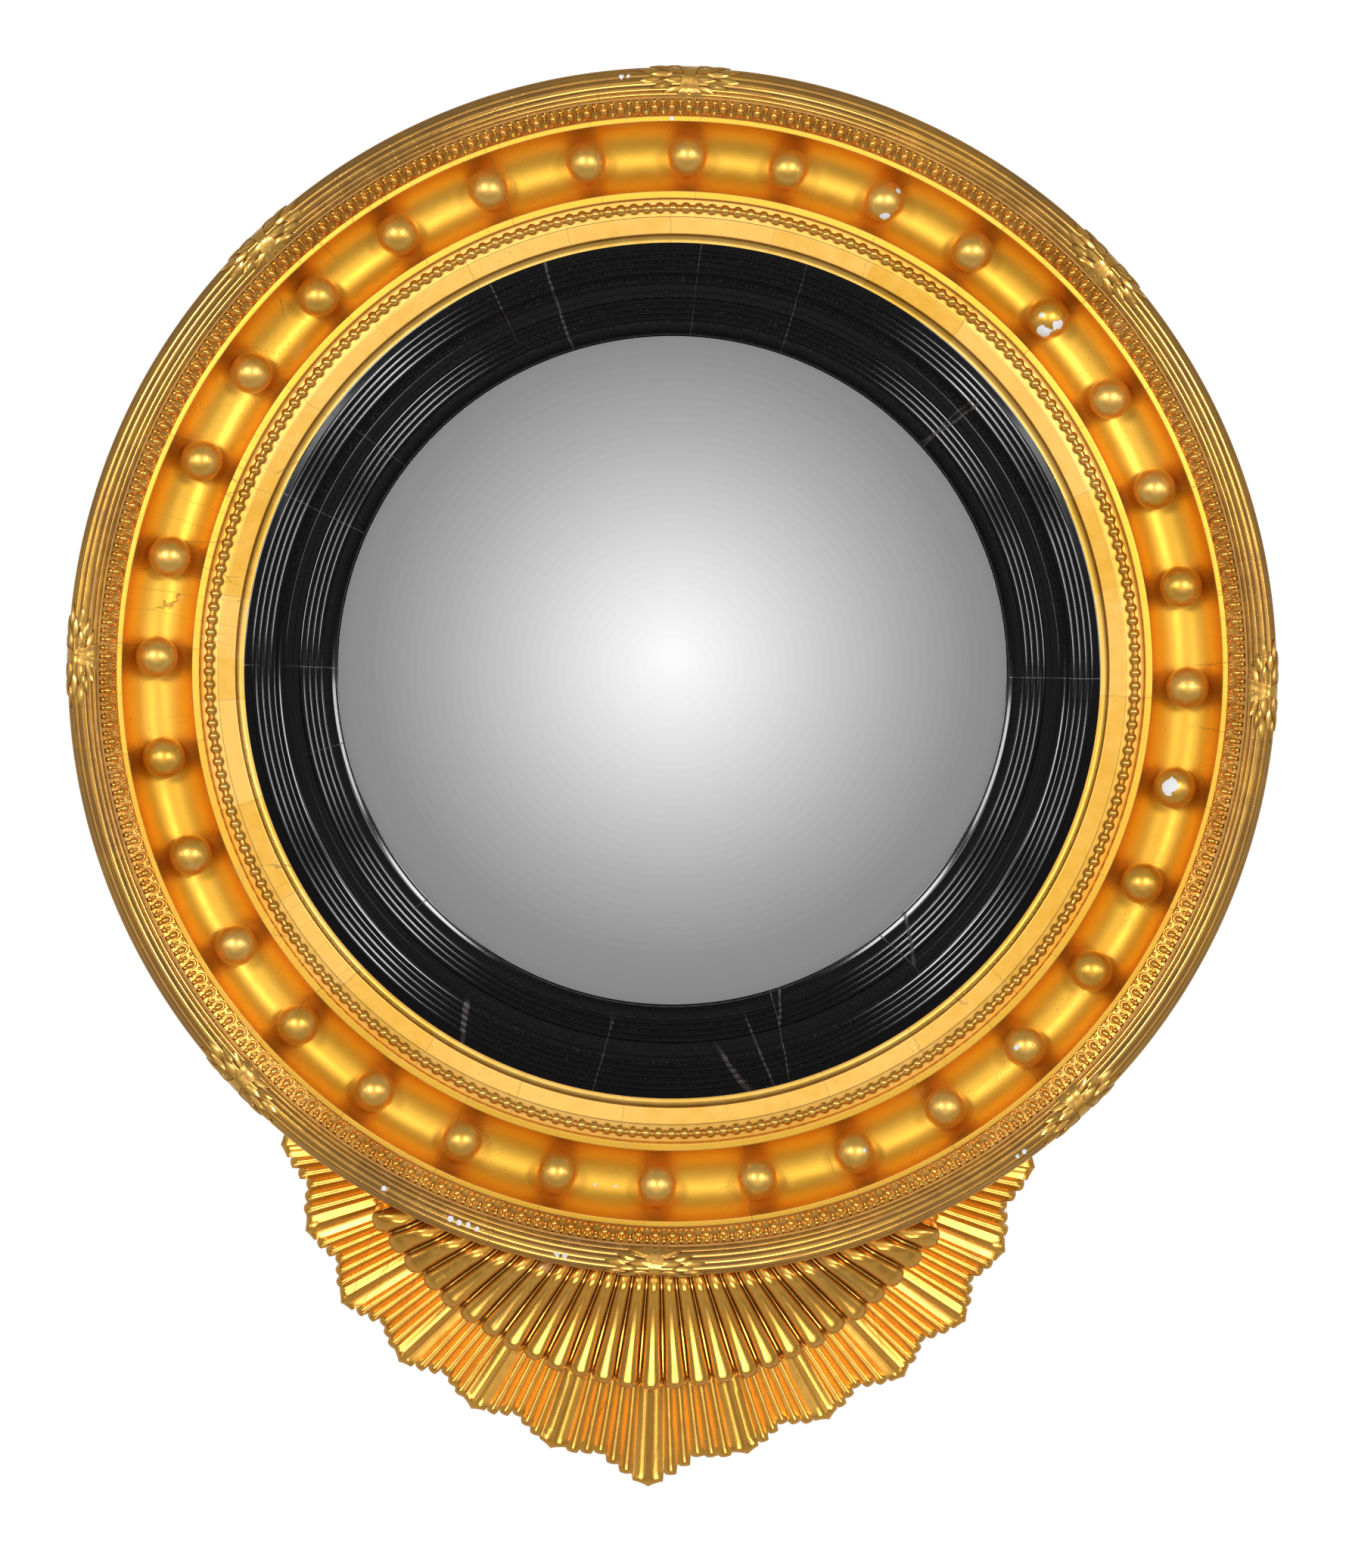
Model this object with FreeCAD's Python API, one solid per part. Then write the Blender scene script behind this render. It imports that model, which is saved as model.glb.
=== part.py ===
import FreeCAD, Part
import math
import os
from collections import namedtuple

# Convex butlers mirror: turned and gilded rings round a domed glass, with a
# carved two-tier apron below. Millimetres. The mirror's axis is Y, the wall is
# the plane y = 0 and the front faces -Y; X is right and Z is up, and the origin
# is the centre of the rings on the wall. A "depth" is the distance in front of
# the wall, so y = -depth, and a turned profile is a list of (radius, depth).

Vec = FreeCAD.Vector
Bow = namedtuple("Bow", "mid end")          # a run of a profile that is an arc
ORIGIN = Vec(0, 0, 0)
AXIS = Vec(0, 1, 0)
FORWARD = Vec(0, -1, 0)

# --- clearances ---------------------------------------------------------------
glue_line = 0.1                 # between glued faces
hole_clearance = 0.05           # round screws and pegs
felt_gap = 0.1                  # between the felt and the glass
carving_clearance = 0.3         # between the apron and the rings

# --- carcass, from the wall forward -------------------------------------------
standoff = 7.0                  # wall to the back of the frame, as thick as the pads
ring_board = 18.0               # thickness of the back ring
back_chamfer = 1.5
backboard_thickness = 4.0
backboard_edge_gap = 0.5
backboard_lap = 72.0            # how far the backboard reaches over the back ring
slip_tongue = 3.6               # how far the inner slip reaches under the outer one

# --- glass --------------------------------------------------------------------
sight_radius = 258.3            # of the glass that shows
glass_lap = 9.7                 # how far the glass runs under the slip
glass_dome_radius = 700.0
glass_thickness = 4.0
glass_edge_height = 1.0         # of the dome's face at the sight radius, over the carcass
glass_edge_gap = 1.2
felt_thickness = 0.7            # at the sight edge

# --- widths of the turned rings, from the glass outward -------------------------
inner_nose_width = 9.7
inner_reed_count = 4
inner_reed_pitch = 4.5
step_tread = 4.6
step_flat = 5.8
riser_width = 7.0
outer_reed_count = 4
outer_reed_pitch = 4.65
outer_band_width = 5.4
quirk_width = 6.4
sight_band_width = 12.8
bead_channel_width = 13.9
ridge_width = 5.5
cove_width = 51.2
cove_segments = 8               # that the cove ring is glued up from before it is turned
fillet_width = 4.0
egg_seat_width = 12.2
rim_inner_land = 1.0
rim_radius = 12.5               # of the rim's round section
rim_foot_setback = 2.5          # of the back ring's edge inside the rim's centre

# --- heights of the turned rings above the face of the back ring ----------------
slip_back = -7.0
nose_thickness = 1.4
nose_bow = (0.35, 0.6)          # the nose's middle: share of its width, drop below the reeds
inner_reed_height = 5.5
inner_reed_fall = 1.0           # the inner tier falls towards the glass
tread_height = 7.5
flat_height = 8.5
outer_reed_height = 13.5
outer_reed_fall = 1.5
outer_band_height = 14.0
outer_band_fall = 1.0
riser_bow = (0.62, 1.0)         # the riser's middle: share of its width, height over the flat
quirk_height = 11.5
quirk_lip = 1.0                 # square edge between the quirk and the sight band
quirk_bow = (0.65, 0.8)         # the quirk's middle: share of its width, height over its floor
sight_band_height = 18.0
sight_band_rise = 1.5
bead_floor_height = 17.0
ridge_height = 24.5
ridge_edge_drop = 1.5           # from the ridge down to the edge of the cove
cove_floor_height = 6.0
cove_lip_height = 37.0
fillet_height = 40.0
egg_seat_height = 36.0
egg_seat_rise = 6.0
rim_centre_height = 41.5
reed_rise = 1.0                 # of the black reeds
rim_reed_rise = 1.2
rim_reed_angles = (150.0, 128.0, 104.0, 70.0, 36.0, 0.0, -40.0)
rim_foot_height = 3.0
rim_side_angles = (-60.0, -40.0, -20.0, 0.0)
rim_hollow_width = 3.0          # how far the hollow under the rim stands out

# --- ornament -------------------------------------------------------------------
ball_count = 32
ball_radius = 16.0
ball_flat = 0.5                 # depth of the flat on the ball's foot
ball_lift = 0.3
ball_outset = 1.5               # of the ball circle outside the cove's middle
peg_radius = 3.0
peg_in_ring = 8.0
peg_in_ball = 15.0
bead_count = 224
bead_radius = 4.4
bead_centre_height = 1.5
egg_count = 208
egg_radius = 2.9
egg_length = 5.6                # between the two round ends
egg_strip_thickness = 1.8
tie_count = 8
tie_thickness = 2.2
tie_gap = 0.15
tie_half_angle = 5.0
tie_span = (145.0, -25.0)       # over the rim's round section, from inside to outside
tie_ribbon_width = 11.0
tie_ribbon_turn = 18.0

# --- apron ----------------------------------------------------------------------
ray_inset = 114.225             # from the rim's edge up to where the rays meet
back_tier_thickness = 14.0
back_tier_tips = (
    # turn of the point from straight down, and its reach from where the rays meet
    (0.0, 288.0), (16.35, 271.5), (30.9, 270.0), (44.8, 277.6),
    (57.7, 285.7), (70.15, 287.5), (83.8, 293.0),
)
back_tier_notch = 14.0          # how far the notches fall behind the points
back_tier_end_turn = 90.5
back_tier_end_reach = 280.0
flutes_per_point = 3
flute_depth = 4.5
flute_half_width = 4.0
flute_overcut = 0.9             # of the cutting tool over the face of the tier
lobe_count = 27
lobe_pitch = 5.25               # degrees
lobe_reach = 211.0
lobe_end_reach = 233.0          # of the last lobe on each side
lobe_rise = 6.0
lobe_lap = 0.15                 # how far neighbouring lobes run into each other
lobe_bulge_offset = 10.0        # from the rim's edge to the fullest part of the lobes
lobe_bulge_drop = 8.5           # from the rim's middle back to the fullest crest
lobe_start_drop = 20.5          # and to the crest where it leaves the ring
lobe_fall = 0.28                # how fast the lobes fall towards their tips
lobe_tip_length = 8.0
lobe_tip_narrowing = 0.5
lobe_tip_height = 6.0
lobe_least_height = 1.0         # of a lobe's valleys and tip over the back tier

# --- fixings --------------------------------------------------------------------
screw_shank = 2.0
screw_head = 4.2
screw_head_height = 2.4
screw_point = 4.0
screw_slot = 0.9
board_screw_count = 12
board_screw_bite = 10.0         # how far it goes into the back ring
board_screw_inset = 6.0
ring_screw_count = 12
ring_screw_bite = 8.0           # into the cove ring
ring_screw_inset = 8.2          # from the edge of the cove
block_count = 8
block_end_gap = 4.0             # from a block's outer end to the back ring
block_width = 30.0
block_overlap = 6.0             # of the block under the glass
block_gap = 0.3
block_screw_length = 15.0
tier_screw_turns = (-18.0, -9.0, 0.0, 9.0, 18.0)
tier_screw_offset = 30.3        # outside the rim's edge
tier_screw_bite = 10.0          # into the front tier
plate_turns = (-22.0, 0.0, 22.0)
plate_thickness = 2.0
plate_width = 16.0
plate_length = 60.0
plate_screw_inset = 10.0
plate_screw_bite = 10.0
pad_radius = 10.0
pad_inset = 7.7                 # from the edge of the back ring to a pad
pad_turns = (45.0, 135.0, 215.0, 325.0)

# --- hanging rings --------------------------------------------------------------
hanger_turn = 35.0              # above the middle, as seen from the front
hanger_plate_length = 54.0
hanger_plate_height = 14.0
hanger_plate_thickness = 1.2
hanger_barrel_radius = 3.0
hanger_barrel_length = 13.0
hanger_screw_inset = 5.5
hanger_screw_bite = 12.8        # into the back ring
ring_wire = 1.5                 # radius of the ring's wire
ring_fit = 0.06                 # running clearance of the bar in its barrel
ring_half_width = 17.5
ring_leg = 7.0
ring_corner = 3.0

# --- places worked out from the sizes above -------------------------------------
carcass_front = standoff + ring_board
board_front = standoff + backboard_thickness
glass_radius = sight_radius + glass_lap
glass_edge_depth = carcass_front + glass_edge_height
dome_centre = glass_edge_depth - math.sqrt(glass_dome_radius ** 2 - sight_radius ** 2)
felt_seat_depth = glass_edge_depth + felt_thickness + felt_gap
nose_outer = sight_radius + inner_nose_width
inner_reed_outer = nose_outer + inner_reed_count * inner_reed_pitch
tread_outer = inner_reed_outer + step_tread
flat_outer = tread_outer + step_flat
riser_outer = flat_outer + riser_width
outer_reed_outer = riser_outer + outer_reed_count * outer_reed_pitch
slip_outer = outer_reed_outer + outer_band_width
quirk_outer = slip_outer + quirk_width
sight_band_outer = quirk_outer + sight_band_width
channel_outer = sight_band_outer + bead_channel_width
ridge_outer = channel_outer + ridge_width
cove_outer = ridge_outer + cove_width
fillet_outer = cove_outer + fillet_width
seat_outer = fillet_outer + egg_seat_width
rim_inner_reach = rim_radius * abs(math.cos(math.radians(rim_reed_angles[0])))
rim_centre = seat_outer + rim_inner_land + rim_inner_reach
rim_edge = rim_centre + rim_radius
ring_outer_radius = rim_centre - rim_foot_setback
ring_inner_radius = flat_outer + slip_tongue
backboard_radius = ring_inner_radius + backboard_lap
ball_circle = ridge_outer + cove_width / 2 + ball_outset
ball_centre_depth = carcass_front + cove_floor_height + ball_radius - ball_flat + ball_lift
tier_front = standoff + back_tier_thickness
ray_drop = rim_edge - ray_inset             # where the rays meet, below the ring's centre
lobe_bulge_depth = carcass_front + rim_centre_height - lobe_bulge_drop
lobe_start_depth = carcass_front + rim_centre_height - lobe_start_drop
block_inner = glass_radius - block_overlap
block_length = ring_inner_radius - block_end_gap - block_inner
pad_ring_radius = ring_outer_radius - pad_inset - pad_radius
hanger_radius = (backboard_radius + backboard_edge_gap + ring_outer_radius) / 2
hanger_x = hanger_radius * math.cos(math.radians(hanger_turn))
hanger_z = hanger_radius * math.sin(math.radians(hanger_turn))
hanger_axis_depth = standoff - hanger_barrel_radius


def over_ring(height):
    """Depth of a height that is measured over the face of the back ring."""
    return carcass_front + height


def dome_depth(radius, below=0.0):
    """Depth of the glass's face, or of a surface below it, at a radius."""
    return dome_centre + math.sqrt((glass_dome_radius - below) ** 2 - radius ** 2)


# --- tools for making shapes ----------------------------------------------------
def at(radius, depth):
    return Vec(radius, -depth, 0)


def profile(start, *runs):
    """Closed face from a start point and its runs, which are points or Bows."""
    edges = []
    here = start
    for run in runs + (start,):
        end = run.end if isinstance(run, Bow) else run
        if isinstance(run, Bow):
            edges.append(Part.Arc(at(*here), at(*run.mid), at(*end)).toShape())
        else:
            edges.append(Part.LineSegment(at(*here), at(*end)).toShape())
        here = end
    return Part.Face(Part.Wire(edges))


def turned(start, *runs, sweep=360):
    """Ring, or a segment of one, turned about the mirror's axis."""
    return profile(start, *runs).revolve(ORIGIN, AXIS, sweep)


def between(a, b, share):
    return tuple(p + (q - p) * share for p, q in zip(a, b))


def reeds(start, end, count, rise):
    """Equal reeds along a line, standing proud of it towards the front."""
    run = (end[0] - start[0], end[1] - start[1])
    length = math.hypot(*run)
    side = 1 if run[0] > 0 else -1
    normal = (-side * run[1] / length, side * run[0] / length)
    bows = []
    for i in range(count):
        middle = between(start, end, (i + 0.5) / count)
        crest = (middle[0] + rise * normal[0], middle[1] + rise * normal[1])
        bows.append(Bow(crest, between(start, end, (i + 1) / count)))
    return bows


def on_rim(angle, radius):
    """Point of the rim's round section; 0 is outward and 90 is the front."""
    turn = math.radians(angle)
    return rim_centre + radius * math.cos(turn), over_ring(rim_centre_height) + radius * math.sin(turn)


def turned_to(shape, degrees):
    """Copy turned about the axis, anticlockwise from +X as seen from the front."""
    copy = shape.copy()
    copy.rotate(ORIGIN, AXIS, -degrees)
    return copy


def ring_of(shape, count, first=0.0):
    return [turned_to(shape, first + 360.0 * i / count) for i in range(count)]


def rod(radius, x, z, depth_from, depth_to):
    """Round rod along the axis between two depths."""
    return Part.makeCylinder(radius, depth_to - depth_from, Vec(x, -depth_from, z), FORWARD)


def block(x, depth, z, width, thick, height):
    """Box centred on x and z that starts at a depth and runs forward."""
    return Part.makeBox(width, thick, height, Vec(x - width / 2, -depth - thick, z - height / 2))


def cut_all(shape, tools):
    return shape.cut(Part.makeCompound(tools)) if tools else shape


def save(name, solids):
    solids = solids if isinstance(solids, list) else [solids]
    shape = solids[0] if len(solids) == 1 else Part.makeCompound(solids)
    shape.exportStep("parts/%s.step" % name)


# --- screws -----------------------------------------------------------------------
def screw(x, z, back, length, room=0.0):
    """Countersunk wood screw driven from the back; room makes it a hole tool."""
    wide, shank_radius = screw_head + room, screw_shank + room
    straight = back + length - screw_point + room
    head = Part.makeCone(wide, shank_radius, screw_head_height, Vec(x, -back, z), FORWARD)
    shank = rod(shank_radius, x, z, back, straight)
    point = Part.makeCone(shank_radius, 0, screw_point + room, Vec(x, -straight, z), FORWARD)
    body = head.fuse([shank, point])
    if room:
        return body
    slot = block(x, back, z, 2 * screw_head, screw_slot, screw_slot)
    return body.cut(slot)


def polar(radius, degrees):
    turn = math.radians(degrees)
    return radius * math.cos(turn), radius * math.sin(turn)


def screw_sets():
    """Place, back face and length of every screw, by the node it belongs to."""
    board = [polar(backboard_radius - board_screw_inset, 360.0 * i / board_screw_count)
             for i in range(board_screw_count)]
    ring = [polar(cove_outer - ring_screw_inset, 360.0 * (i + 0.5) / ring_screw_count)
            for i in range(ring_screw_count)]
    blocks = [polar(block_inner + (block_length + block_overlap) / 2, 360.0 * (i + 0.5) / block_count)
              for i in range(block_count)]
    tiers = [polar(rim_edge + tier_screw_offset, turn - 90) for turn in tier_screw_turns]
    plates = [polar(radius, turn - 90) for turn in plate_turns for radius in plate_screw_radii()]
    hangers = [(side * (hanger_x + end * hanger_screw_reach()), hanger_z)
               for side in (-1, 1) for end in (-1, 1)]
    return {
        "backboard_screws": (board, standoff, backboard_thickness + board_screw_bite),
        "ring_screws": (ring, standoff, ring_board + ring_screw_bite),
        "block_screws": (blocks, block_back(), block_screw_length),
        "apron_tier_screws": (tiers, standoff, back_tier_thickness + tier_screw_bite),
        "apron_plate_screws": (plates, standoff - plate_thickness, plate_thickness + plate_screw_bite),
        "hanger_screws": (hangers, standoff - hanger_plate_thickness,
                          hanger_plate_thickness + hanger_screw_bite),
    }


def screws(name):
    places, back, length = screw_sets()[name]
    return [screw(x, z, back, length) for x, z in places]


def screw_holes(*names):
    holes = []
    for name in names:
        places, back, length = screw_sets()[name]
        holes += [screw(x, z, back, length, hole_clearance) for x, z in places]
    return holes


# --- carcass ----------------------------------------------------------------------
def back_ring():
    rebate = backboard_radius + backboard_edge_gap
    ring = turned(
        (ring_inner_radius, board_front), (rebate, board_front), (rebate, standoff),
        (ring_outer_radius - back_chamfer, standoff), (ring_outer_radius, standoff + back_chamfer),
        (ring_outer_radius, carcass_front), (ring_inner_radius, carcass_front))
    holes = screw_holes("backboard_screws", "ring_screws", "apron_plate_screws", "hanger_screws")
    return cut_all(ring, holes + peg_holes())


def backboard():
    board = turned((0, standoff), (backboard_radius, standoff),
                   (backboard_radius, board_front), (0, board_front))
    return cut_all(board, screw_holes("backboard_screws"))


def cove_ring():
    """Glued up from segments, whose joints lie midway between two balls."""
    joint = math.degrees(glue_line / cove_outer)
    segment = turned(
        (channel_outer + glue_line, carcass_front),
        (channel_outer + glue_line, over_ring(ridge_height)),
        (ridge_outer - glue_line, over_ring(ridge_height)),
        (ridge_outer, over_ring(ridge_height - ridge_edge_drop)),
        Bow(((ridge_outer + cove_outer) / 2, over_ring(cove_floor_height)),
            (cove_outer, over_ring(cove_lip_height))),
        (cove_outer, over_ring(fillet_height)), (fillet_outer, over_ring(fillet_height)),
        (fillet_outer, over_ring(egg_seat_height)),
        (seat_outer, over_ring(egg_seat_height + egg_seat_rise)),
        (seat_outer, carcass_front), sweep=joint - 360.0 / cove_segments)
    holes = screw_holes("ring_screws") + peg_holes()
    return [cut_all(piece, holes) for piece in ring_of(segment, cove_segments, 180.0 / ball_count)]


def sight_ring():
    return turned(
        (slip_outer + glue_line, carcass_front),
        (slip_outer + glue_line, over_ring(quirk_height)),
        Bow((slip_outer + quirk_bow[0] * quirk_width, over_ring(quirk_height + quirk_bow[1])),
            (quirk_outer, over_ring(sight_band_height - quirk_lip))),
        (quirk_outer, over_ring(sight_band_height)),
        (sight_band_outer, over_ring(sight_band_height + sight_band_rise)),
        (sight_band_outer, over_ring(bead_floor_height)),
        (channel_outer, over_ring(bead_floor_height)), (channel_outer, carcass_front))


def outer_slip():
    inner = flat_outer + glue_line
    reed_top = (outer_reed_outer, over_ring(outer_reed_height))
    reed_foot = (riser_outer, over_ring(outer_reed_height - outer_reed_fall))
    return turned(
        (inner, carcass_front), (slip_outer, carcass_front),
        (slip_outer, over_ring(outer_band_height - outer_band_fall)),
        (outer_reed_outer, over_ring(outer_band_height)), reed_top,
        *reeds(reed_top, reed_foot, outer_reed_count, reed_rise),
        Bow((inner + riser_bow[0] * (riser_outer - inner), over_ring(flat_height + riser_bow[1])),
            (inner, over_ring(flat_height))))


def inner_slip():
    back = over_ring(slip_back)
    flange = ring_inner_radius - glue_line
    reed_top = (inner_reed_outer, over_ring(inner_reed_height + inner_reed_fall))
    reed_foot = (nose_outer, over_ring(inner_reed_height))
    nose_top = felt_seat_depth + nose_thickness
    rebate = glass_radius + glass_edge_gap
    slip = turned(
        (rebate, back), (flange, back), (flange, carcass_front - glue_line),
        (flat_outer, carcass_front - glue_line), (flat_outer, over_ring(flat_height)),
        (tread_outer, over_ring(flat_height)), (tread_outer, over_ring(tread_height)),
        (inner_reed_outer, over_ring(tread_height)), reed_top,
        *reeds(reed_top, reed_foot, inner_reed_count, reed_rise),
        Bow((sight_radius + nose_bow[0] * inner_nose_width, over_ring(inner_reed_height - nose_bow[1])),
            (sight_radius, nose_top)),
        (sight_radius, felt_seat_depth), (rebate, felt_seat_depth))
    return cut_all(slip, screw_holes("block_screws"))


def reeded_rim():
    inner = seat_outer + glue_line
    crest = rim_radius
    root = rim_radius - rim_reed_rise
    runs = []
    for first, last in zip(rim_reed_angles, rim_reed_angles[1:]):
        runs.append(Bow(on_rim((first + last) / 2, crest), on_rim(last, root)))
    start = on_rim(rim_reed_angles[0], root)
    hollow_end = on_rim(rim_reed_angles[-1], root)
    foot = (ring_outer_radius, over_ring(rim_foot_height))
    hollow = (ring_outer_radius + rim_hollow_width, (hollow_end[1] + foot[1]) / 2)
    return turned((inner, carcass_front), (inner, start[1]), start, *runs, Bow(hollow, foot),
                  (ring_outer_radius, carcass_front))


# --- glass and what holds it --------------------------------------------------------
def mirror_glass():
    middle = glass_radius / 2
    back = glass_thickness
    return turned(
        (0, dome_depth(0)), Bow((middle, dome_depth(middle)), (glass_radius, dome_depth(glass_radius))),
        (glass_radius, dome_depth(glass_radius, back)),
        Bow((middle, dome_depth(middle, back)), (0, dome_depth(0, back))))


def glass_felt():
    inner = sight_radius + felt_gap
    outer = glass_radius + glass_edge_gap / 2
    middle = (inner + outer) / 2
    top = felt_seat_depth - felt_gap
    return turned(
        (inner, top), (outer, top), (outer, dome_depth(outer) + felt_gap),
        Bow((middle, dome_depth(middle) + felt_gap), (inner, dome_depth(inner) + felt_gap)))


def block_back():
    return board_front + block_gap


def block_top():
    return min(over_ring(slip_back), dome_depth(glass_radius, glass_thickness)) - glue_line


def glass_blocks():
    middle = block_inner + block_length / 2
    one = block(middle, block_back(), 0, block_length, block_top() - block_back(), block_width)
    blocks = ring_of(one, block_count, 180.0 / block_count)
    holes = screw_holes("block_screws")
    return [piece.cut(hole) for piece, hole in zip(blocks, holes)]


# --- ornament -----------------------------------------------------------------------
def peg_span():
    """Depths of a peg's two ends."""
    return carcass_front - peg_in_ring, over_ring(cove_floor_height) + peg_in_ball


def ball_pegs():
    low, high = peg_span()
    return ring_of(rod(peg_radius, ball_circle, 0, low, high), ball_count)


def peg_holes():
    low, high = peg_span()
    tool = rod(peg_radius + hole_clearance, ball_circle, 0, low - hole_clearance, high + hole_clearance)
    return ring_of(tool, ball_count)


def gilt_balls():
    centre = at(ball_circle, ball_centre_depth)
    ball = Part.makeSphere(ball_radius, centre)
    foot_depth = ball_centre_depth - ball_radius + ball_flat
    below = block(ball_circle, 0, 0, 2 * ball_radius, foot_depth, 2 * ball_radius)
    ball = ball.cut([below, peg_holes()[0]])
    return ring_of(ball, ball_count)


def bead_border():
    middle = (sight_band_outer + channel_outer) / 2
    floor = over_ring(bead_floor_height)
    bead = Part.makeSphere(bead_radius, at(middle, floor + bead_centre_height))
    under = block(middle, floor - 2 * bead_radius, 0, 3 * bead_radius, 2 * bead_radius, 3 * bead_radius)
    return ring_of(bead.cut(under), bead_count)


def egg_strip_line():
    """The sloping seat of the egg border: its two ends and its unit vectors."""
    low = (fillet_outer + glue_line, over_ring(egg_seat_height))
    high = (seat_outer, over_ring(egg_seat_height + egg_seat_rise))
    length = math.dist(low, high)
    along = ((high[0] - low[0]) / length, (high[1] - low[1]) / length)
    return low, high, along, (-along[1], along[0])


def shifted(point, vector, distance):
    return point[0] + vector[0] * distance, point[1] + vector[1] * distance


def egg_border():
    low, high, along, out = egg_strip_line()
    forward = (0, 1)
    low = shifted(low, forward, glue_line)
    high = shifted(high, forward, glue_line)
    strip = turned(low, high, shifted(high, forward, egg_strip_thickness),
                   shifted(low, forward, egg_strip_thickness))
    middle = shifted(between(low, high, 0.5), forward, egg_strip_thickness)
    foot = shifted(middle, along, -egg_length / 2)
    axis = Vec(along[0], -along[1], 0)
    egg = Part.makeCylinder(egg_radius, egg_length, at(*foot), axis)
    ends = [Part.makeSphere(egg_radius, at(*shifted(foot, along, run))) for run in (0, egg_length)]
    corner = Vec(-3 * egg_radius, 0, -2 * egg_radius)
    under = Part.makeBox(6 * egg_radius, 4 * egg_radius, 4 * egg_radius, corner)
    under.rotate(ORIGIN, Vec(0, 0, 1), -math.degrees(math.atan2(along[1], along[0])))
    under.translate(at(*middle))
    egg = egg.fuse(ends).removeSplitter().cut(under)
    return [strip] + ring_of(egg, egg_count)


def ribbon_ties():
    """Two crossed ribbons over the rim, cut from a shell that follows its round section."""
    first, last = tie_span
    inner, outer = rim_radius + tie_gap, rim_radius + tie_gap + tie_thickness
    middle = (first + last) / 2
    shell = profile(
        on_rim(first, inner), Bow(on_rim(middle, inner), on_rim(last, inner)),
        on_rim(last, outer), Bow(on_rim(middle, outer), on_rim(first, outer)))
    shell = shell.revolve(ORIGIN, AXIS, 2 * tie_half_angle)
    shell.rotate(ORIGIN, AXIS, -tie_half_angle)
    reach = 4 * rim_edge * math.sin(math.radians(tie_half_angle))
    bars = []
    for side in (-1, 1):
        bar = block(0, 0, 0, tie_ribbon_width, over_ring(rim_centre_height) + 4 * rim_radius, reach)
        bar.rotate(ORIGIN, AXIS, side * tie_ribbon_turn)
        bar.translate(Vec(rim_centre, 0, 0))
        bars.append(bar)
    return ring_of(shell.common(bars[0].fuse(bars[1])), tie_count)


# --- apron --------------------------------------------------------------------------
def on_ray(turn, reach, aside=0.0):
    """Place on a ray of the apron: x and z, with a step to the side of the ray."""
    swing = math.radians(turn)
    x = reach * math.sin(swing) + aside * math.cos(swing)
    z = -ray_drop - reach * math.cos(swing) + aside * math.sin(swing)
    return x, z


def reach_at(turn, radius):
    """Reach along a ray at which it lies at a radius from the ring's centre."""
    down = ray_drop * math.cos(math.radians(turn))
    return math.sqrt(down ** 2 - ray_drop ** 2 + radius ** 2) - down


def ring_room():
    """The space of the turned rings with a clearance, to cut from the carving."""
    root = rim_radius + carving_clearance
    edge = ring_outer_radius + carving_clearance
    side = [on_rim(angle, root) for angle in rim_side_angles]
    foot = (edge + rim_hollow_width, over_ring(rim_foot_height))
    top = over_ring(rim_centre_height) + 4 * rim_radius
    return turned((0, -standoff), (edge, -standoff), (edge, carcass_front), foot, *side,
                  (side[-1][0], top), (0, top))


def back_tier_points():
    """Turn and reach of every point and notch of the back tier, from left to right."""
    half = []
    for (turn, reach), (next_turn, next_reach) in zip(back_tier_tips, back_tier_tips[1:]):
        half.append((turn, reach))
        half.append(((turn + next_turn) / 2, (reach + next_reach) / 2 - back_tier_notch))
    half.append(back_tier_tips[-1])
    half.append((back_tier_end_turn, back_tier_end_reach))
    return [(-turn, reach) for turn, reach in reversed(half[1:])] + half


def flute_turns():
    """Turn of every groove: several between each point and the next."""
    tips = [turn for turn, _ in back_tier_tips]
    half = []
    for turn, next_turn in zip(tips, tips[1:]):
        step = (next_turn - turn) / flutes_per_point
        half += [turn + step * (i + 0.5) for i in range(flutes_per_point)]
    return [-turn for turn in half] + half


def flute(turn, reach):
    """Tapering V groove along a ray of the back tier."""
    near, far = reach_at(turn, ring_outer_radius), reach + back_tier_notch
    ends = []
    for station in (near, far):
        width = flute_half_width * station / far
        top = tier_front + flute_overcut
        corners = [on_ray(turn, station, -width) + (top,), on_ray(turn, station, width) + (top,),
                   on_ray(turn, station) + (tier_front - flute_depth,)]
        points = [Vec(x, -depth, z) for x, z, depth in corners]
        ends.append(Part.makePolygon(points + points[:1]))
    return Part.makeLoft(ends, True, True)


def apron_back_tier():
    outline = [Vec(x, -standoff, z) for x, z in (on_ray(turn, reach) for turn, reach in back_tier_points())]
    outline.append(Vec(0, -standoff, -ray_drop))
    plate = Part.Face(Part.makePolygon(outline + outline[:1])).extrude(Vec(0, -back_tier_thickness, 0))
    longest = max(reach for _, reach in back_tier_tips)
    plate = plate.cut([ring_room()] + [flute(turn, longest) for turn in flute_turns()])
    holes = screw_holes("apron_tier_screws", "apron_plate_screws")
    return cut_all(plate, holes)


def lobe_tip(turn):
    """Reach of the lobe that lies at this turn from straight down."""
    last = lobe_pitch * (lobe_count - 1) / 2
    return lobe_reach + (lobe_end_reach - lobe_reach) * abs(turn / last) ** 3


def crest_depth(turn, reach):
    """Depth of a lobe's crest: fullest close to the rim and falling to the tip."""
    x, z = on_ray(turn, reach)
    run = math.hypot(x, z) - rim_edge - lobe_bulge_offset
    if run < 0:
        slope = (lobe_bulge_depth - lobe_start_depth) / (lobe_bulge_offset + rim_edge - ring_outer_radius)
        return lobe_bulge_depth + run * slope
    return lobe_bulge_depth - run * lobe_fall


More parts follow.
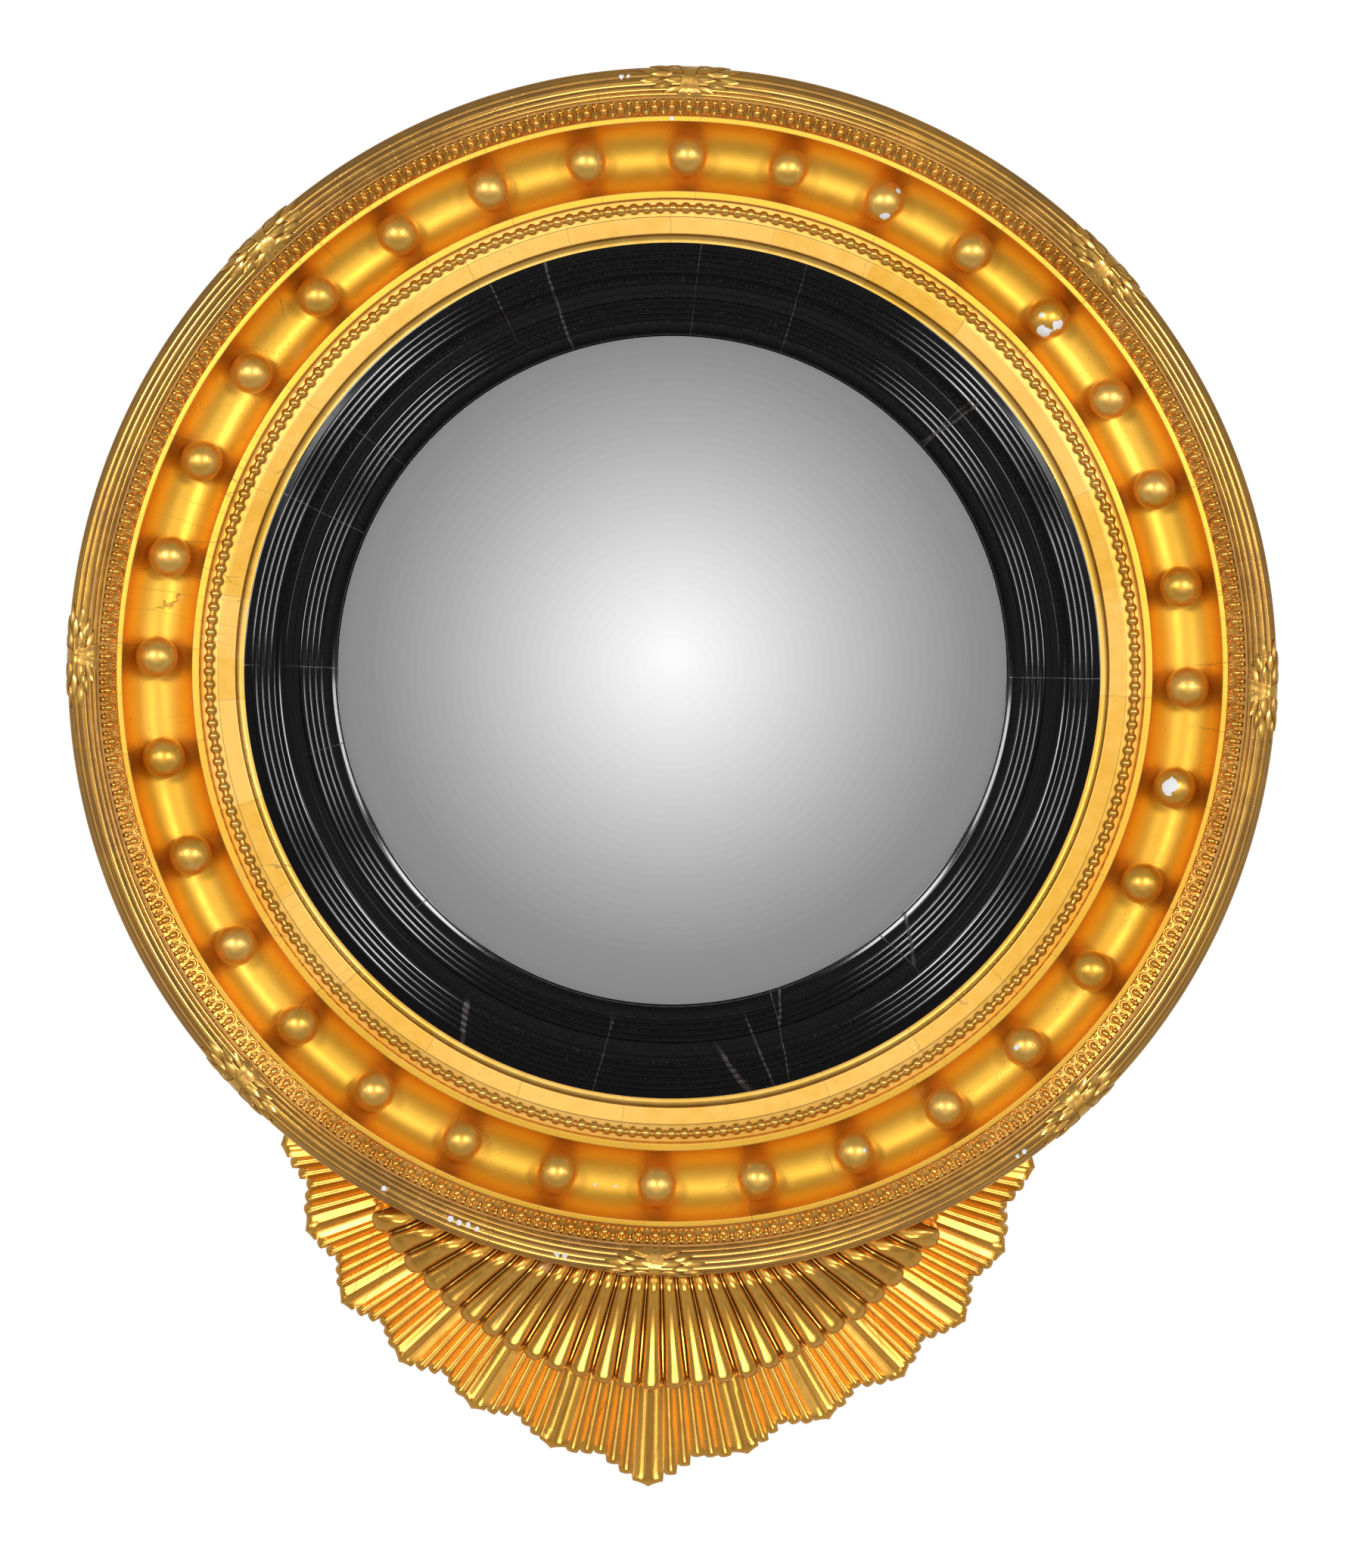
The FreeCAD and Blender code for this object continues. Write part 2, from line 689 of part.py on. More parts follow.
def lobe_section(turn, reach, crest, narrowing=1.0):
    """Arched section of a lobe across its ray, down to the back tier."""
    half = (reach * math.tan(math.radians(lobe_pitch / 2)) + lobe_lap) * narrowing
    valley = max(crest - lobe_rise, tier_front + lobe_least_height)
    left, right, top = on_ray(turn, reach, -half), on_ray(turn, reach, half), on_ray(turn, reach)
    a, b = Vec(left[0], -tier_front, left[1]), Vec(left[0], -valley, left[1])
    c, d = Vec(right[0], -valley, right[1]), Vec(right[0], -tier_front, right[1])
    arch = Part.Arc(b, Vec(top[0], -crest, top[1]), c).toShape()
    return Part.Wire([Part.LineSegment(a, b).toShape(), arch, Part.LineSegment(c, d).toShape(),
                      Part.LineSegment(d, a).toShape()])


def lobe(turn):
    tip = lobe_tip(turn)
    start = reach_at(turn, ring_outer_radius - back_chamfer)
    shoulder = tip - lobe_tip_length
    bulge = min(reach_at(turn, rim_edge + lobe_bulge_offset), (start + shoulder) / 2)
    stations = [start, bulge, (bulge + shoulder) / 2, shoulder]
    sections = [lobe_section(turn, reach, crest_depth(turn, reach)) for reach in stations]
    end_crest = max(crest_depth(turn, tip) - lobe_tip_height, tier_front + 2 * lobe_least_height)
    sections.append(lobe_section(turn, tip, end_crest, lobe_tip_narrowing))
    return Part.makeLoft(sections, True, True)


def apron_front_tier():
    turns = [lobe_pitch * (i - (lobe_count - 1) / 2) for i in range(lobe_count)]
    lobes = [lobe(turn) for turn in turns]
    shell = lobes[0].fuse(lobes[1:]).cut(ring_room())
    return cut_all(shell, screw_holes("apron_tier_screws"))


# --- fixings ------------------------------------------------------------------------
def plate_middle():
    return ring_outer_radius + carving_clearance


def plate_screw_radii():
    reach = plate_length / 2 - plate_screw_inset
    return plate_middle() - reach, plate_middle() + reach


def apron_plates():
    one = block(plate_middle(), standoff - plate_thickness, 0, plate_length, plate_thickness, plate_width)
    plates = [turned_to(one, turn - 90) for turn in plate_turns]
    holes = screw_holes("apron_plate_screws")
    return [cut_all(plate, holes[2 * i:2 * i + 2]) for i, plate in enumerate(plates)]


def wall_pads():
    pad = rod(pad_radius, pad_ring_radius, 0, 0, standoff)
    return [turned_to(pad, turn) for turn in pad_turns]


def hanger_screw_reach():
    return hanger_plate_length / 2 - hanger_screw_inset


def hanger_plate(side):
    """Plate across the bar of the ring, with the barrel that the bar turns in."""
    x, z = side * hanger_x, hanger_z
    plate = block(x, standoff - hanger_plate_thickness, z, hanger_plate_length, hanger_plate_thickness,
                  hanger_plate_height)
    start = Vec(x - hanger_barrel_length / 2, -hanger_axis_depth, z)
    barrel = Part.makeCylinder(hanger_barrel_radius, hanger_barrel_length, start, Vec(1, 0, 0))
    bore = Part.makeCylinder(ring_wire + ring_fit, hanger_barrel_length, start, Vec(1, 0, 0))
    holes = screw_holes("hanger_screws")
    return plate.fuse(barrel).cut([bore] + holes)


def hanger_ring(side):
    """D ring that hangs from its straight bar."""
    y = -hanger_axis_depth
    half, leg, corner = ring_half_width, ring_leg + ring_corner, ring_corner
    lean = corner * (1 - math.sqrt(0.5))

    def p(x, drop):
        return Vec(side * hanger_x + x, y, hanger_z - drop)

    edges = [
        Part.LineSegment(p(0, 0), p(half - corner, 0)),
        Part.Arc(p(half - corner, 0), p(half - lean, lean), p(half, corner)),
        Part.LineSegment(p(half, corner), p(half, leg)),
        Part.Arc(p(half, leg), p(0, leg + half), p(-half, leg)),
        Part.LineSegment(p(-half, leg), p(-half, corner)),
        Part.Arc(p(-half, corner), p(lean - half, lean), p(corner - half, 0)),
        Part.LineSegment(p(corner - half, 0), p(0, 0)),
    ]
    path = Part.Wire([edge.toShape() for edge in edges])
    wire_section = Part.Wire(Part.makeCircle(ring_wire, p(0, 0), Vec(1, 0, 0)))
    return path.makePipeShell([wire_section], True, False)


def main():
    os.makedirs("parts", exist_ok=True)
    save("back_ring", back_ring())
    save("backboard", backboard())
    save("cove_ring", cove_ring())
    save("sight_ring", sight_ring())
    save("outer_slip", outer_slip())
    save("inner_slip", inner_slip())
    save("reeded_rim", reeded_rim())
    save("mirror_glass", mirror_glass())
    save("glass_felt", glass_felt())
    save("glass_blocks", glass_blocks())
    save("ball_pegs", ball_pegs())
    save("gilt_balls", gilt_balls())
    save("bead_border", bead_border())
    save("egg_border", egg_border())
    save("ribbon_ties", ribbon_ties())
    save("apron_back_tier", apron_back_tier())
    save("apron_front_tier", apron_front_tier())
    save("apron_plates", apron_plates())
    save("wall_pads", wall_pads())
    for name in screw_sets():
        save(name, screws(name))
    for word, side in (("left", -1), ("right", 1)):
        save("hanger_plate_" + word, hanger_plate(side))
        save("hanger_ring_" + word, hanger_ring(side))


main()
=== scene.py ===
"""Convex butlers mirror: the finished surfaces, set round the construction frame.

Metres. The mirror's axis is Y, the wall is the plane y = 0 and the front faces -Y; X is right
and Z is up. A "depth" is the distance in front of the wall, so y = -depth, and the section of a
turned ring is a list of (radius, depth) points. A "turn" on the apron is measured from straight
down, round the place where its rays meet.
"""

import math
import random
from collections import namedtuple
from types import SimpleNamespace

import bmesh
import bpy
from mathutils import Matrix, Vector


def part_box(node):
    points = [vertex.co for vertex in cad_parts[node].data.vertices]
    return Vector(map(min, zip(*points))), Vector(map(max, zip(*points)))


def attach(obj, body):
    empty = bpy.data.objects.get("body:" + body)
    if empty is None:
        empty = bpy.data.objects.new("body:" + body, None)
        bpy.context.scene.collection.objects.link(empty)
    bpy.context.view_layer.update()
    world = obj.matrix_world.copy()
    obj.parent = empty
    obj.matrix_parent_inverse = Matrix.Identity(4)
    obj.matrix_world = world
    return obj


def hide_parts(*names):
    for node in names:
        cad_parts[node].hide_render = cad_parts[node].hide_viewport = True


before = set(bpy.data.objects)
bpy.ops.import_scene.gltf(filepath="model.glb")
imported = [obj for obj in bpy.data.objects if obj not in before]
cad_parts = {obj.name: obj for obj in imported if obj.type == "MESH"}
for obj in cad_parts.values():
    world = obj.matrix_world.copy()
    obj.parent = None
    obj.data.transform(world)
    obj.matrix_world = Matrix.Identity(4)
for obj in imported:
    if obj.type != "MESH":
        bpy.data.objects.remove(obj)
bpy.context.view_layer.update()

bl_info = {
    "name": "Convex butlers mirror",
    "version": (1, 0, 0),
    "blender": (4, 5, 0),
    "location": "3D View > Sidebar > Mirror",
    "description": "Builds a gilded convex mirror with a ball-set cove and a carved fan apron",
    "category": "Object",
}

Bow = namedtuple("Bow", "mid end")      # a run of a section that is an arc
AXIS = (0.0, 1.0, 0.0)
CENTRE = (0.0, 0.0, 0.0)
WELD = 0.000002                         # points nearer than this are one
BODY = "frame"


# --- sizes and colours that a user would change -------------------------------------
def length(name, millimetres, about):
    return bpy.props.FloatProperty(
        name=name, description=about, default=millimetres / 1000, min=0, precision=4, unit="LENGTH")


def degrees(name, value, about):
    return bpy.props.FloatProperty(
        name=name, description=about, default=math.radians(value), subtype="ANGLE", unit="ROTATION")


def count(name, value, about):
    return bpy.props.IntProperty(name=name, description=about, default=value, min=1)


def share(name, value, about):
    return bpy.props.FloatProperty(name=name, description=about, default=value, min=0, max=1,
                                   subtype="FACTOR")


def colour(name, value, about):
    return bpy.props.FloatVectorProperty(
        name=name, description=about, default=value, min=0, max=1, size=3, subtype="COLOR")


class MirrorRingSizes(bpy.types.PropertyGroup):
    """Sections of the turned rings, from the glass outward; heights are over the back ring."""
    sight_radius: length("Sight radius", 258.3, "Radius of the glass that shows")
    dome_radius: length("Dome radius", 700.0, "Radius of the glass's dome")
    glass_thickness: length("Glass thickness", 4.0, "Thickness of the glass")
    glass_edge_height: length("Glass edge height", 1.0, "Height of the dome at the sight edge")
    glass_lap: length("Glass lap", 9.7, "How far the glass runs under the slip")
    nose_width: length("Nose width", 9.7, "Width of the inner slip's hollow nose")
    inner_reed_pitch: length("Inner reed pitch", 4.5, "Pitch of the reeds next to the glass")
    tread: length("Tread", 4.6, "Width of the step between the black tiers")
    flat: length("Flat", 5.8, "Width of the flat under the outer tier")
    riser: length("Riser", 7.0, "Width of the round that climbs to the outer tier")
    outer_reed_pitch: length("Outer reed pitch", 4.65, "Pitch of the outer black reeds")
    outer_band: length("Outer band", 5.4, "Width of the black band outside the reeds")
    quirk: length("Quirk", 6.4, "Width of the gilt hollow next to the black slip")
    sight_band: length("Sight band", 12.8, "Width of the flat gilt band")
    bead_channel: length("Bead channel", 13.9, "Width of the channel that holds the beads")
    ridge: length("Ridge", 5.5, "Width of the ridge between the beads and the cove")
    cove: length("Cove", 51.2, "Width of the hollow that holds the balls")
    fillet: length("Fillet", 4.0, "Width of the fillet outside the cove")
    egg_seat: length("Egg seat", 12.2, "Width of the seat of the egg border")
    rim_land: length("Rim land", 1.0, "Width of the land inside the rim")
    rim_radius: length("Rim radius", 12.5, "Radius of the rim's round section")
    reed_rise: length("Reed rise", 1.0, "How far the black reeds stand proud")
    rim_reed_rise: length("Rim reed rise", 1.2, "How far the rim's reeds stand proud")
    soft_edge: length("Soft edge", 0.16, "How far an edge is rounded under the gilding")
    reeds_per_tier: count("Reeds per tier", 4, "Number of reeds on each black tier")
    steps: count("Steps", 360, "Facets round each ring")


class MirrorOrnamentSizes(bpy.types.PropertyGroup):
    """Balls, beads, eggs and ribbon ties."""
    balls: count("Balls", 32, "Number of balls in the cove")
    ball_radius: length("Ball radius", 16.0, "Radius of a ball")
    ball_foot: length("Ball foot", 5.4, "Radius of the collar that a ball stands on")
    beads: count("Beads", 224, "Number of beads")
    bead_radius: length("Bead radius", 4.4, "Radius of a bead")
    eggs: count("Eggs", 208, "Number of eggs in the border")
    egg_half_width: length("Egg half width", 3.0, "Half of an egg's width along the border")
    egg_half_length: length("Egg half length", 4.3, "Half of an egg's length across the border")
    ties: count("Ties", 8, "Number of ribbon ties on the rim")
    tie_length: length("Tie length", 77.0, "Length of a tie along the rim, leaves included")
    ribbon_width: length("Ribbon width", 8.0, "Width of a tie's ribbon")
    leaf_length: length("Leaf length", 17.0, "Length of a laurel leaf")
    leaf_width: length("Leaf width", 6.2, "Width of a laurel leaf")


class MirrorApronSizes(bpy.types.PropertyGroup):
    """The carved fan and the pointed tier behind it."""
    ray_inset: length("Ray inset", 114.225, "From the rim's edge up to where the rays meet")
    back_thickness: length("Back thickness", 14.0, "Thickness of the pointed tier")
    notch: length("Notch", 14.0, "How far the notches fall behind the points")
    blade_share: share("Blade share", 0.30, "Share of a point that its broad blade takes")
    narrow_flutes: count("Narrow flutes", 5, "Narrow flutes between two blades")
    flute_depth: length("Flute depth", 4.2, "Depth of the flutes of the pointed tier")
    lobes: count("Lobes", 27, "Number of lobes of the fan")
    lobe_pitch: degrees("Lobe pitch", 5.25, "Angle from one lobe to the next")
    lobe_reach: length("Lobe reach", 211.0, "Reach of the middle lobe")
    lobe_end_reach: length("Lobe end reach", 233.0, "Reach of the last lobe on each side")
    lobe_rise: length("Lobe rise", 6.0, "Height of a lobe over its grooves")
    lobe_fall: share("Lobe fall", 0.28, "How fast the lobes fall towards their tips")
    bulge_offset: length("Bulge offset", 10.0, "From the rim's edge to the fullest part")
    bulge_drop: length("Bulge drop", 8.5, "From the rim's middle back to the fullest crest")


class MirrorFinishes(bpy.types.PropertyGroup):
    """Colours and wear."""
    matt_gold: colour("Matt gold", (0.870, 0.458, 0.042), "Gold leaf over ochre size")
    pale_gold: colour("Pale gold", (0.930, 0.545, 0.120), "Gold leaf where it is thick and rubbed bright")
    bright_gold: colour("Bright gold", (0.850, 0.430, 0.062), "Burnished gold leaf")
    bole: colour("Bole", (0.560, 0.290, 0.150), "Clay under the leaf where it is worn through")
    # Grime is both dust and old size in the hollows and painted shade in the creases and low places of the
    # gilding.
    grime_and_shade: colour("Grime", (0.120, 0.048, 0.012), "Dust and old size in the hollows")
    gesso: colour("Gesso", (0.800, 0.790, 0.800), "Chalk ground where the gilding is chipped off")
    cove_gold: colour("Cove gold", (0.880, 0.476, 0.042), "Gold leaf of the cove")
    cove_high: colour("Cove high", (0.880, 0.495, 0.058), "Gold leaf of the cove where it is thick")
    # The rim's gold is darkened as painted shade, standing for the darker reflections of its burnished
    # round.
    rim_shaded_gold: colour("Rim gold", (0.50, 0.26, 0.062), "Darkened gold leaf of the rim")
    carving_gold: colour("Carving gold", (0.850, 0.405, 0.050), "Gold leaf of the apron")
    carving_high: colour("Carving high", (0.930, 0.505, 0.090), "Gold leaf of the apron where it is thick")
    ebony: colour("Ebony", (0.0005, 0.0005, 0.0006), "Polished black of the slips")
    dust: colour("Dust", (0.060, 0.047, 0.036), "Dust in the grooves of the slips")
    crack: colour("Crack", (0.012, 0.009, 0.007), "Cracks in the black polish")
    pine: colour("Pine", (0.400, 0.235, 0.115), "Old bare pine")
    leaf: length("Leaf", 78.0, "Length of a leaf of gold between its laps")
    wear: share("Wear", 0.5, "How far the gilding is worn and marked")


class MirrorStage(bpy.types.PropertyGroup):
    """Camera, lights and floor."""
    distance: length("Camera distance", 3000.0, "From the wall to the camera")
    height: length("Camera height", 120.0, "Of the camera over the rings' centre")
    pitch: degrees("Pitch", 1.2, "How far the camera looks down")
    roll: degrees("Roll", 1.7, "How far the camera is rolled")
    lens: bpy.props.FloatProperty(name="Lens", description="Focal length for a 36 mm frame",
                                  default=89.0, unit="CAMERA")
    floor_drop: length("Floor drop", 745.0, "From the rings' centre down to the floor")
    light_power: bpy.props.FloatProperty(name="Light power", description="Power of each soft light",
                                         default=21.0, unit="POWER")
    light_swing: degrees("Light swing", 24.0, "Of the soft lights to each side of the camera")


def sizes_of(group):
    """The values of a PropertyGroup as plain numbers and tuples."""
    found = {}
    for name in group.__annotations__:
        value = getattr(group, name)
        found[name] = value if isinstance(value, (int, float, str)) else tuple(value)
    return SimpleNamespace(**found)


# --- set sizes ------------------------------------------------------------------------
# Heights over the face of the back ring.
SLIP_BACK = -0.007
FELT_TOP = 0.0018                       # top of the felt seat
INNER_REED_HEIGHT = 0.0055
INNER_REED_FALL = 0.001                 # towards the glass
TREAD_HEIGHT = 0.0075
FLAT_HEIGHT = 0.0085
OUTER_REED_HEIGHT = 0.0135
OUTER_REED_FALL = 0.0015
OUTER_BAND_HEIGHT = 0.014
OUTER_BAND_FALL = 0.001
QUIRK_HEIGHT = 0.0115
BEAD_FLOOR = 0.017
BAND_HEIGHT = 0.018
BAND_RISE = 0.0015
RIDGE_HEIGHT = 0.0245
RIDGE_EDGE_DROP = 0.0015
COVE_FLOOR = 0.006
COVE_LIP = 0.037
FILLET_HEIGHT = 0.040
SEAT_HEIGHT = 0.036
SEAT_RISE = 0.006
RIM_HEIGHT = 0.0415                     # of the middle of the rim's round section
RIM_FOOT_HEIGHT = 0.003

WALL_GAP = 0.007                        # from the wall to the back of the frame
GLUE_LINE = 0.0001
GLASS_EDGE_GAP = 0.0012
NOSE_THICKNESS = 0.0014
SLIP_TONGUE = 0.0035                    # how far the inner slip reaches under the outer one
RIM_SETBACK = 0.0025                    # of the back ring's edge inside the rim's middle
RIM_HOLLOW = 0.003                      # how far the hollow under the rim stands out
RIM_REED_TURNS = (150, 128, 104, 70, 36, 0, -40)    # between the reeds, round its section
BALL_OUTSET = 0.0015                    # of the ball circle outside the cove's middle
BALL_LIFT = 0.0003                      # of a ball's flat over the floor of the cove
BALL_FLAT = 0.0005                      # how much of a ball is cut off at its foot
BEAD_CENTRE = 0.0015                    # of a bead over the floor of its channel
EGG_STRIP = 0.0016                      # thickness of the strip under the eggs
TIE_MIDDLE_TURN = 60                    # of the rim's section, where a tie is centred

# Apron: turn in degrees and reach of each point of the tier at the back, from the middle out.
BACK_TIER_TIPS = ((0.0, 0.288), (16.35, 0.2715), (30.9, 0.270), (44.8, 0.2776),
                  (57.7, 0.2857), (70.15, 0.2875), (83.8, 0.293))
BACK_TIER_END = (90.5, 0.280)
CARVING_GAP = 0.0003                    # between the tiers and the rings
FAN_START = 0.0059                      # of the fan outside the ring's foot, clear of the rim's hollow
FAN_START_DROP = 0.0205                 # of that place behind the rim's middle
FAN_TIP_LENGTH = 0.008                  # of the rounded end of a lobe
FAN_TIP_ROLL = 0.0062                   # how far that end falls
FAN_SCALLOP = 0.0072                    # from the tips of the lobes in to where they part
FAN_ROWS = 40
LOBE_EDGE = 0.82                        # where a lobe meets its groove, as a share of its half width
GROOVE_EDGE = 0.86                      # where the groove meets the fillet between two lobes
FILLET_DEPTH = -0.60                    # of that fillet, where 0 is a crest and -1 a groove
LOBE_COLUMNS = (-1, -0.93, -0.86, -0.82, -0.76, -0.66, -0.52, -0.36, -0.18, 0,
                0.18, 0.36, 0.52, 0.66, 0.76, 0.82, 0.86, 0.93)
BLADE_PARTS = (0.0, 0.3, 0.65, 0.94, 1.0)           # columns across half of a blade
FLUTE_PARTS = (0.0, 0.12, 0.34, 0.5, 0.66, 0.88)
END_PARTS = (0.12, 0.25, 0.38, 0.5, 0.62, 0.75, 0.88, 1.0)
TIER_ROWS = (0, 0.2, 0.4, 0.52, 0.6, 0.66, 0.72, 0.78, 0.83, 0.88, 0.92, 0.95, 0.97, 0.985, 0.995, 1.0)
POINT_ROLL = 0.0045                     # how far the rounded end of the points falls
POINT_ROLL_LENGTH = 0.006
PINE_GRAIN = 26.0                       # rings a metre
CAMERA_SHIFT = -0.12                    # of the picture, as a share of its width

# Chips in the gilding, as degrees round the mirror, place and reach.
COVE_CHIPS = ((-93.4, 0.0011), (-94.6, 0.0016), (-95.6, 0.0013), (-96.9, 0.0018), (-98.3, 0.0012))
FILLET_CHIP = (91.7, 0.0018)
RIM_CHIPS = ((-110.4, 0.0), (-109.5, 0.0004), (-108.6, 0.0), (-107.7, 0.0004), (-99.5, 0.003),
             (-98.8, 0.003), (-117.5, 0.001), (-52.7, 0.004), (-51.9, 0.004), (96.6, 0.006), (95.9, 0.006))
RIM_CHIP_REACH = 0.0022
BALL_CHIPS = (((45, -0.40, 0.09), 0.0020), ((45, 0.43, -0.36), 0.0045), ((45, -0.32, -0.70), 0.0060),
              ((67.5, 0.05, -0.80), 0.0040), ((67.5, 0.62, 0.45), 0.0024), ((-11.25, -0.35, 0.10), 0.0066),
              ((-45, -0.50, 0.02), 0.0026), ((-67.5, 0.40, 0.25), 0.0016))

# Leaves of a tie's sprays: place along and across the rim, and splay in degrees.
LAUREL_SPRAY = ((0.004, -0.0105, -16), (0.004, -0.0035, -5), (0.004, 0.0035, 5), (0.004, 0.0105, 16),
                (0.013, -0.0075, -12), (0.013, 0.0, 0), (0.013, 0.0075, 12))


# --- places that follow from the sizes -------------------------------------------------
def ring_places(scene):
    """Radii and depths of the turned rings, walked outward from the glass."""
    s = sizes_of(scene.mirror_rings)
    p = SimpleNamespace(size=s, face=-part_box("cove_ring")[1].y)
    p.nose = s.sight_radius + s.nose_width
    p.inner_reeds = p.nose + s.reeds_per_tier * s.inner_reed_pitch
    p.tread = p.inner_reeds + s.tread
    p.flat = p.tread + s.flat
    p.riser = p.flat + s.riser
    p.outer_reeds = p.riser + s.reeds_per_tier * s.outer_reed_pitch
    p.slip = p.outer_reeds + s.outer_band
    p.quirk = p.slip + s.quirk
    p.sight_band = p.quirk + s.sight_band
    p.channel = p.sight_band + s.bead_channel
    p.ridge = p.channel + s.ridge
    p.cove = p.ridge + s.cove
    p.fillet = p.cove + s.fillet
    p.seat = p.fillet + s.egg_seat
    p.rim_centre = p.seat + s.rim_land + s.rim_radius * math.cos(math.radians(30))
    p.rim_edge = p.rim_centre + s.rim_radius
    p.rim_depth = p.face + RIM_HEIGHT
    p.glass = s.sight_radius + s.glass_lap
    p.dome_centre = p.face + s.glass_edge_height - math.sqrt(s.dome_radius ** 2 - s.sight_radius ** 2)
    p.ball_circle = p.ridge + s.cove / 2 + BALL_OUTSET
    p.ring_foot = p.rim_centre - RIM_SETBACK
    return p


def at(radius, depth):
    return Vector((radius, -depth, 0))


# --- tools: selection and edit mode -----------------------------------------------------
def deselect():
    if bpy.context.mode != "OBJECT":
        bpy.ops.object.mode_set(mode="OBJECT")
    bpy.ops.object.select_all(action="DESELECT")


def activate(*pieces):
    deselect()
    for piece in pieces:
        piece.select_set(True)
    bpy.context.view_layer.objects.active = pieces[0]


def edit(piece):
    """Enters edit mode on one piece with all of it selected."""
    activate(piece)
    bpy.ops.object.mode_set(mode="EDIT")
    bpy.ops.mesh.select_all(action="SELECT")


def leave():
    bpy.ops.object.mode_set(mode="OBJECT")


def latest(name):
    """Names the object that the last operator added, with its place put in its mesh."""
    piece = bpy.context.object
    piece.name = piece.data.name = name
    bpy.ops.object.transform_apply(location=True, rotation=True, scale=True)
    return piece


def close_up():
    """In edit mode: welds seams and poles and turns every face outward."""
    bpy.ops.mesh.select_all(action="SELECT")
    bpy.ops.mesh.remove_doubles(threshold=WELD)
    bpy.ops.mesh.normals_make_consistent(inside=False)


def join(name, pieces):
    activate(*pieces)
    if len(pieces) > 1:
        bpy.ops.object.join()
    whole = bpy.context.object
    whole.name = whole.data.name = name
    return whole


def smooth(piece, degrees_apart=40):
    activate(piece)
    bpy.ops.object.shade_smooth_by_angle(angle=math.radians(degrees_apart))


def place_copy(piece, matrix):
    """Copy of a piece with its own mesh, moved by a matrix that is put in the mesh."""
    activate(piece)
    bpy.ops.object.duplicate(linked=False)
    copy = bpy.context.object
    copy.matrix_world = matrix
    bpy.ops.object.transform_apply(location=True, rotation=True, scale=True)
    return copy


def remove(*pieces):
    activate(*pieces)
    bpy.ops.object.delete()


def mark_relief(piece, height, low, high, top=0.62):
    """Writes the attribute "hollow" by height: 0 at and under low, rising to top at high; the gilding paints
    shade where it is low.
    """
    marks = piece.data.attributes.new("hollow", "FLOAT", "POINT").data
    for mark, vertex in zip(marks, piece.data.vertices):
        part = min(1.0, max(0.0, (height(vertex.co) - low) / (high - low)))
        mark.value = top * part * part * (3 - 2 * part)


def finish_piece(piece, finish, slot, *nodes):
    """Dresses a piece, ties it to the frame body and hides the nodes that it stands for."""
    piece.data.materials.clear()
    piece.data.materials.append(finish)
    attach(piece, BODY)
    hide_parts(*nodes)
    return piece


# --- tools: turned work -------------------------------------------------------------------
def bow_points(start, bow, degrees_per_step=9):
    """Points of an arc after its start, through its middle to its end."""
    (ax, ay), (bx, by), (cx, cy) = start, bow.mid, bow.end
    across = 2 * (ax * (by - cy) + bx * (cy - ay) + cx * (ay - by))
    a, b, c = ax * ax + ay * ay, bx * bx + by * by, cx * cx + cy * cy
    ox = (a * (by - cy) + b * (cy - ay) + c * (ay - by)) / across
    oy = (a * (cx - bx) + b * (ax - cx) + c * (bx - ax)) / across
    radius = math.hypot(ax - ox, ay - oy)
    first = math.atan2(ay - oy, ax - ox)
    last = math.atan2(cy - oy, cx - ox)
    sweep = (last - first) % math.tau if across > 0 else -((first - last) % math.tau)
    steps = max(3, math.ceil(abs(math.degrees(sweep)) / degrees_per_step))
    return [(ox + radius * math.cos(first + sweep * i / steps),
             oy + radius * math.sin(first + sweep * i / steps)) for i in range(1, steps + 1)]


def section(start, *runs, degrees_per_step=9):
    """Points of a closed section from a start and its runs, which are points or Bows."""
    points = [start]
    for run in runs:
        if isinstance(run, Bow):
            points += bow_points(points[-1], run, degrees_per_step)
        else:
            points.append(run)
    return points


def between(a, b, part):
    return tuple(p + (q - p) * part for p, q in zip(a, b))


def reeds(start, end, number, rise):
    """Equal reeds along a line of a section, standing proud towards the front."""
    run = (end[0] - start[0], end[1] - start[1])
    span = math.hypot(*run)
    side = 1 if run[0] > 0 else -1
    normal = (-side * run[1] / span, side * run[0] / span)
    bows = []
    for i in range(number):
        middle = between(start, end, (i + 0.5) / number)
        crest = (middle[0] + rise * normal[0], middle[1] + rise * normal[1])
        bows.append(Bow(crest, between(start, end, (i + 1) / number)))
    return bows


def draw_section(name, points):
    """A new mesh: one point, extruded through the section's points and closed."""
    deselect()
    bpy.ops.mesh.primitive_plane_add(size=0.001)
    piece = latest(name)
    edit(piece)
    bpy.ops.mesh.merge(type="CENTER")
    here = at(*points[0])
    bpy.ops.transform.translate(value=here)
    for point in points[1:] + points[:1]:
        there = at(*point)
        bpy.ops.mesh.extrude_region_move(TRANSFORM_OT_translate={"value": there - here})
        here = there
    bpy.ops.mesh.select_all(action="SELECT")
    bpy.ops.mesh.remove_doubles(threshold=WELD)
    return piece


def hold_corners(points, room=0.0009):
    """Adds a point close to each end of a long run, so that wear stays at its corners."""
    held = []
    for here, there in zip(points, points[1:] + points[:1]):
        held.append(here)
        run = math.dist(here, there)
        if run > 3 * room:
            held += [between(here, there, room / run), between(here, there, 1 - room / run)]
    return held


def soften_corners(piece, width, sharper_than=24):
    """In edit mode: rounds the corners of a section before it is turned."""
    outline = bmesh.from_edit_mesh(piece.data)
    bpy.ops.mesh.select_all(action="DESELECT")
    for vertex in outline.verts:
        ends = [edge.other_vert(vertex).co for edge in vertex.link_edges]
        if len(ends) != 2 or vertex.co.x < WELD:
            continue
        bend = (vertex.co - ends[0]).angle(ends[1] - vertex.co)
        room = min((vertex.co - end).length for end in ends)
        vertex.select = math.degrees(bend) > sharper_than and room > 2.2 * width
    outline.select_flush_mode()
    bpy.ops.mesh.bevel(affect="VERTICES", offset=width, segments=2)


